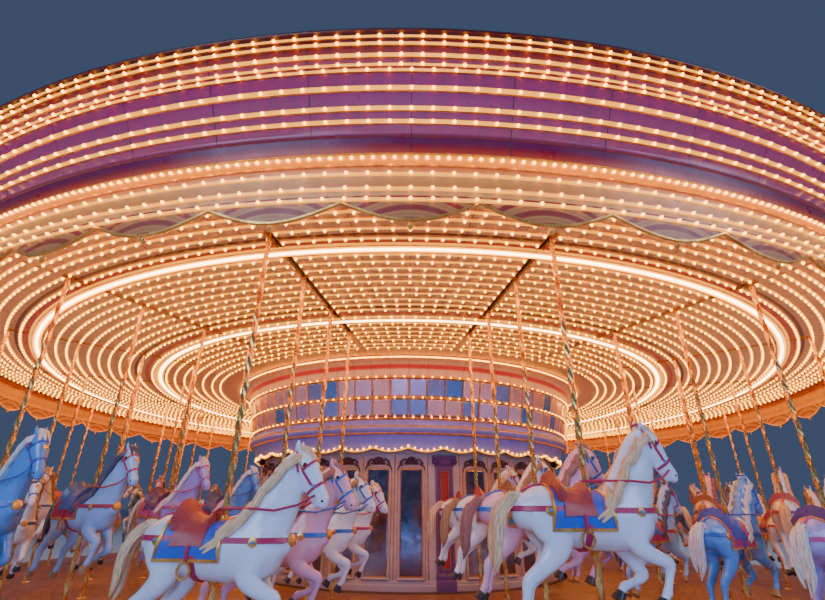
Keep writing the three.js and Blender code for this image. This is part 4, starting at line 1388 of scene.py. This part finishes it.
def makeHorseParts():
    body = [limb(inMetres([(0, *row) for row in rows])) for rows in spine.values()]
    body += [limb(inMetres(rows)) for rows in legs.values()]
    for side in (-1, 1):
        body += [limb(inMetres(rows, side), sides, steps, ends) for rows, sides, steps, ends in features]
    carved = carve(join(body))
    skin = Skin(carved)
    hair, strands = makeLocks(skin)
    parts = {"coat": [carved], "hair": [hair]}
    parts.update((name, []) for name in ("cloth", "leather", "strap", "trim", "gem", "hoof", "eye"))
    hoof, collar = turnedShape(*turned["hoof"]), turnedShape(*turned["collar"])
    for name, way in hoofTurns.items():
        turn = Vector((0, *way)).to_track_quat("Z", "Y").to_matrix()
        parts["hoof"].append(moved(hoof, turn, inMetres(legs[name])[-1][:3]))
    for side in (-1, 1):
        parts["eye"] += [skin.stud((side * 0.08, 0.578, 0.525), *turned["eye"]),
                         skin.stud((side * 0.05, 0.715, 0.292), *turned["nostril"])]
    makeSaddle(skin, parts)
    makeStraps(skin, parts)
    makeBosses(skin, parts)
    for low, flip in ((0.155, 1), (-0.185, -1)):
        parts["trim"].append(moved(collar, Matrix.Diagonal((flip, 1, flip)), (0, 0, low)))
    return parts, strands


# finishes of the horses; each place's own number, its shade, picks one of the colours
coatColours = ((70, 76, 86), (10, 30, 68), (80, 42, 55), (34, 54, 84), (82, 81, 82), (42, 32, 68))
hairColours = ((90, 58, 30), (84, 82, 80), (42, 16, 12), (8, 9, 16), (50, 26, 10), (85, 80, 70))
tack = {
    "cloth": ("saddleCloth", 0.35, 18.0, ((2, 10, 55), (60, 3, 20), (3, 20, 50), (50, 2, 8), (16, 4, 42),
                                          (65, 12, 30))),
    "leather": ("saddlePaint", 0.28, 14.0, ((42, 5, 5), (5, 10, 42), (30, 10, 5), (5, 12, 36), (50, 8, 10),
                                            (10, 5, 20))),
    "strap": ("strapPaint", 0.3, 22.0, ((50, 2, 10), (3, 12, 50), (2, 16, 60), (50, 3, 6), (2, 14, 50), (60, 8, 24))),
    "gem": ("strapGems", 0.05, 30.0, ((2, 30, 80), (70, 2, 12), (80, 50, 10), (5, 50, 70), (70, 5, 30),
                                      (10, 50, 80))),
    "hoof": ("hoofPaint", 0.25, 12.0, ((3, 3, 4), (50, 30, 10), (5, 4, 4), (40, 25, 10), (4, 4, 6), (50, 30, 12))),
    "eye": ("eyeGlass", 0.04, 30.0, ((1, 0.8, 1), (2, 1, 1)))}


def makeCoat():
    finish = Finish("horseCoat", 0.16)
    dapple = finish.spots(15).span(0.0, 0.55, 1.0, 0.0) * finish.noise(2.5).span(0.42, 0.62)
    colour = (dapple * 0.35).mix(finish.attribute("shade").pick(coatColours), (0.9, 0.92, 0.96))
    worn = finish.noise(9, 6.0, 0.68)
    finish.set("Coat Weight", 0.6)
    return finish.dress(worn.stain(colour, (0.3, 0.26, 0.26), 0.56, 0.8, 0.5), worn.span(0.35, 0.75, 0.1, 0.4),
                        finish.noise(14) + worn * 0.5, 0.12, 0.006)


def makeHair():
    finish = Finish("horseHair", 0.3)
    strands = finish.noise(2.4, 3.0, 0.62, finish.attribute("strand", "Vector"))
    colour = strands.stain(finish.attribute("shade").pick(hairColours), (0.16, 0.09, 0.07), 0.42, 0.66, 0.6)
    return finish.dress(colour, strands.span(0.3, 0.7, 0.22, 0.5), strands, 0.5, 0.006)


def makeTack(name, roughness, marks, colours):
    finish = Finish(name, roughness)
    return finish.painted(finish.attribute("shade").pick(colours), 0.35, marks)


def makeHorseTemplate():
    parts, strands = makeHorseParts()
    finishes = {"coat": makeCoat(), "hair": makeHair(), "trim": gilt}
    finishes.update((name, makeTack(*settings)) for name, settings in tack.items())
    shapes = [join(shapes) for shapes in parts.values()]
    slots = [index for index, shape in enumerate(shapes) for face in shape[1]]
    piece = template("jumper", join(shapes), 50, [finishes[name] for name in parts], slots)
    marks = np.zeros((len(piece.data.vertices), 3))
    start = len(shapes[0][0])
    marks[start:start + len(strands)] = strands
    writeAttribute(piece.data, "strand", "FLOAT_VECTOR", "vector", marks.ravel())
    return piece


horsePiece = makeHorseTemplate()
print("stage: horse carved")


# ranks: four horses on twisted brass poles that hang from a crank bar over the ceiling
pole = {"low": 0.265, "high": 4.0, "step": 0.05, "twist": 30.0, "ridge": 0.0247, "groove": 0.0195,
        "plate": [(0.034, 0.3985), (0.066, 0.3985), (0.062, 0.404), (0.045, 0.409), (0.034, 0.407)]}
bar = {"inner": 4.71, "outer": 7.41, "half": 0.03, "high": 0.05}
slotFrame = {"profile": [(0, -0.002), (0, 0.007), (0.008, 0.010), (0.013, 0.004), (0.013, -0.002)],
             "half": 0.0395, "inner": 4.726, "outer": 7.394}


def twistedShape():
    count = round((pole["high"] - pole["low"]) / pole["step"])
    rings = []
    for j in range(count + 1):
        z = pole["low"] + (pole["high"] - pole["low"]) * j / count
        turns = [radians(60 * i + pole["twist"] * j) for i in range(6)]
        reaches = (pole["ridge"], pole["groove"]) * 3
        rings.append([(reach * cos(turn), reach * sin(turn), z) for turn, reach in zip(turns, reaches)])
    return loft(rings)


def makeRanks():
    brass = makeGilt("poleBrass", (1.0, 0.62, 0.2), (0.82, 0.42, 0.1), 0.2, 0.9)
    steel = makeTint("crankSteel", (0.06, 0.06, 0.07), 0.4, 0.4, 12.0)
    half, high = bar["half"], bar["high"]
    slopes = [(half, 0.0), (half, high * 0.8), (half * 0.8, high)]
    slopes += [(-across, rise) for across, rise in reversed(slopes)]
    beam = ridge(slopes, (bar["inner"], bar["outer"]), lambda r, across, rise: (across, -r, pole["high"] + rise))
    beamPiece, polePiece = template("crankBeam", beam, 0), template("twistedPole", twistedShape(), 75)
    plates = []
    for k, angle in enumerate(rankAngles):
        lift, turn, body = travel / 2 if k % 2 == 0 else -travel / 2, radians(angle), f"rank_{k + 1:02d}"
        jumpers = [(polarPoint(r, angle, horse["high"] + lift), (0, 0, turn - pi / 2), size)
                   for r, size in zip(rowRadii, horse["sizes"])]
        shades = [((5 * k + 2 * i + k // 3) % 6 + 0.5) / 6 for i in range(len(rowRadii))]
        horses = scatter(body + "_horses", horsePiece, jumpers, shades=shades)
        settle(horses, "horse_paint", "horse_" + body, body=body)
        poles = [copyAt(angle, polarPoint(r, angle, lift)) for r in rowRadii]
        settle(scatter(body + "_poles", polePiece, poles, brass), "gilt", body=body)
        settle(scatter(body + "_crank_bar", beamPiece, [copyAt(angle, (0, 0, lift))], steel), "dark_steel", body=body)
        plates += [copyAt(angle, polarPoint(r, angle, 0)) for r in rowRadii]
    copiedPiece("deck_pole_plates", [sweepRound(pole["plate"], 12)], plates, brass, "gilt", 60)
    edge = frameShape(slotFrame["profile"], slotFrame["half"], slotFrame["inner"], slotFrame["outer"], -ceilingZ)
    slots = [copyAt(angle) for angle in rankAngles]
    copiedPiece("ceiling_slot_frames", [moved(edge, facing, (0, 0, 0))], slots, gilt, "gilt", 0)


makeRanks()
print("stage: ranks")
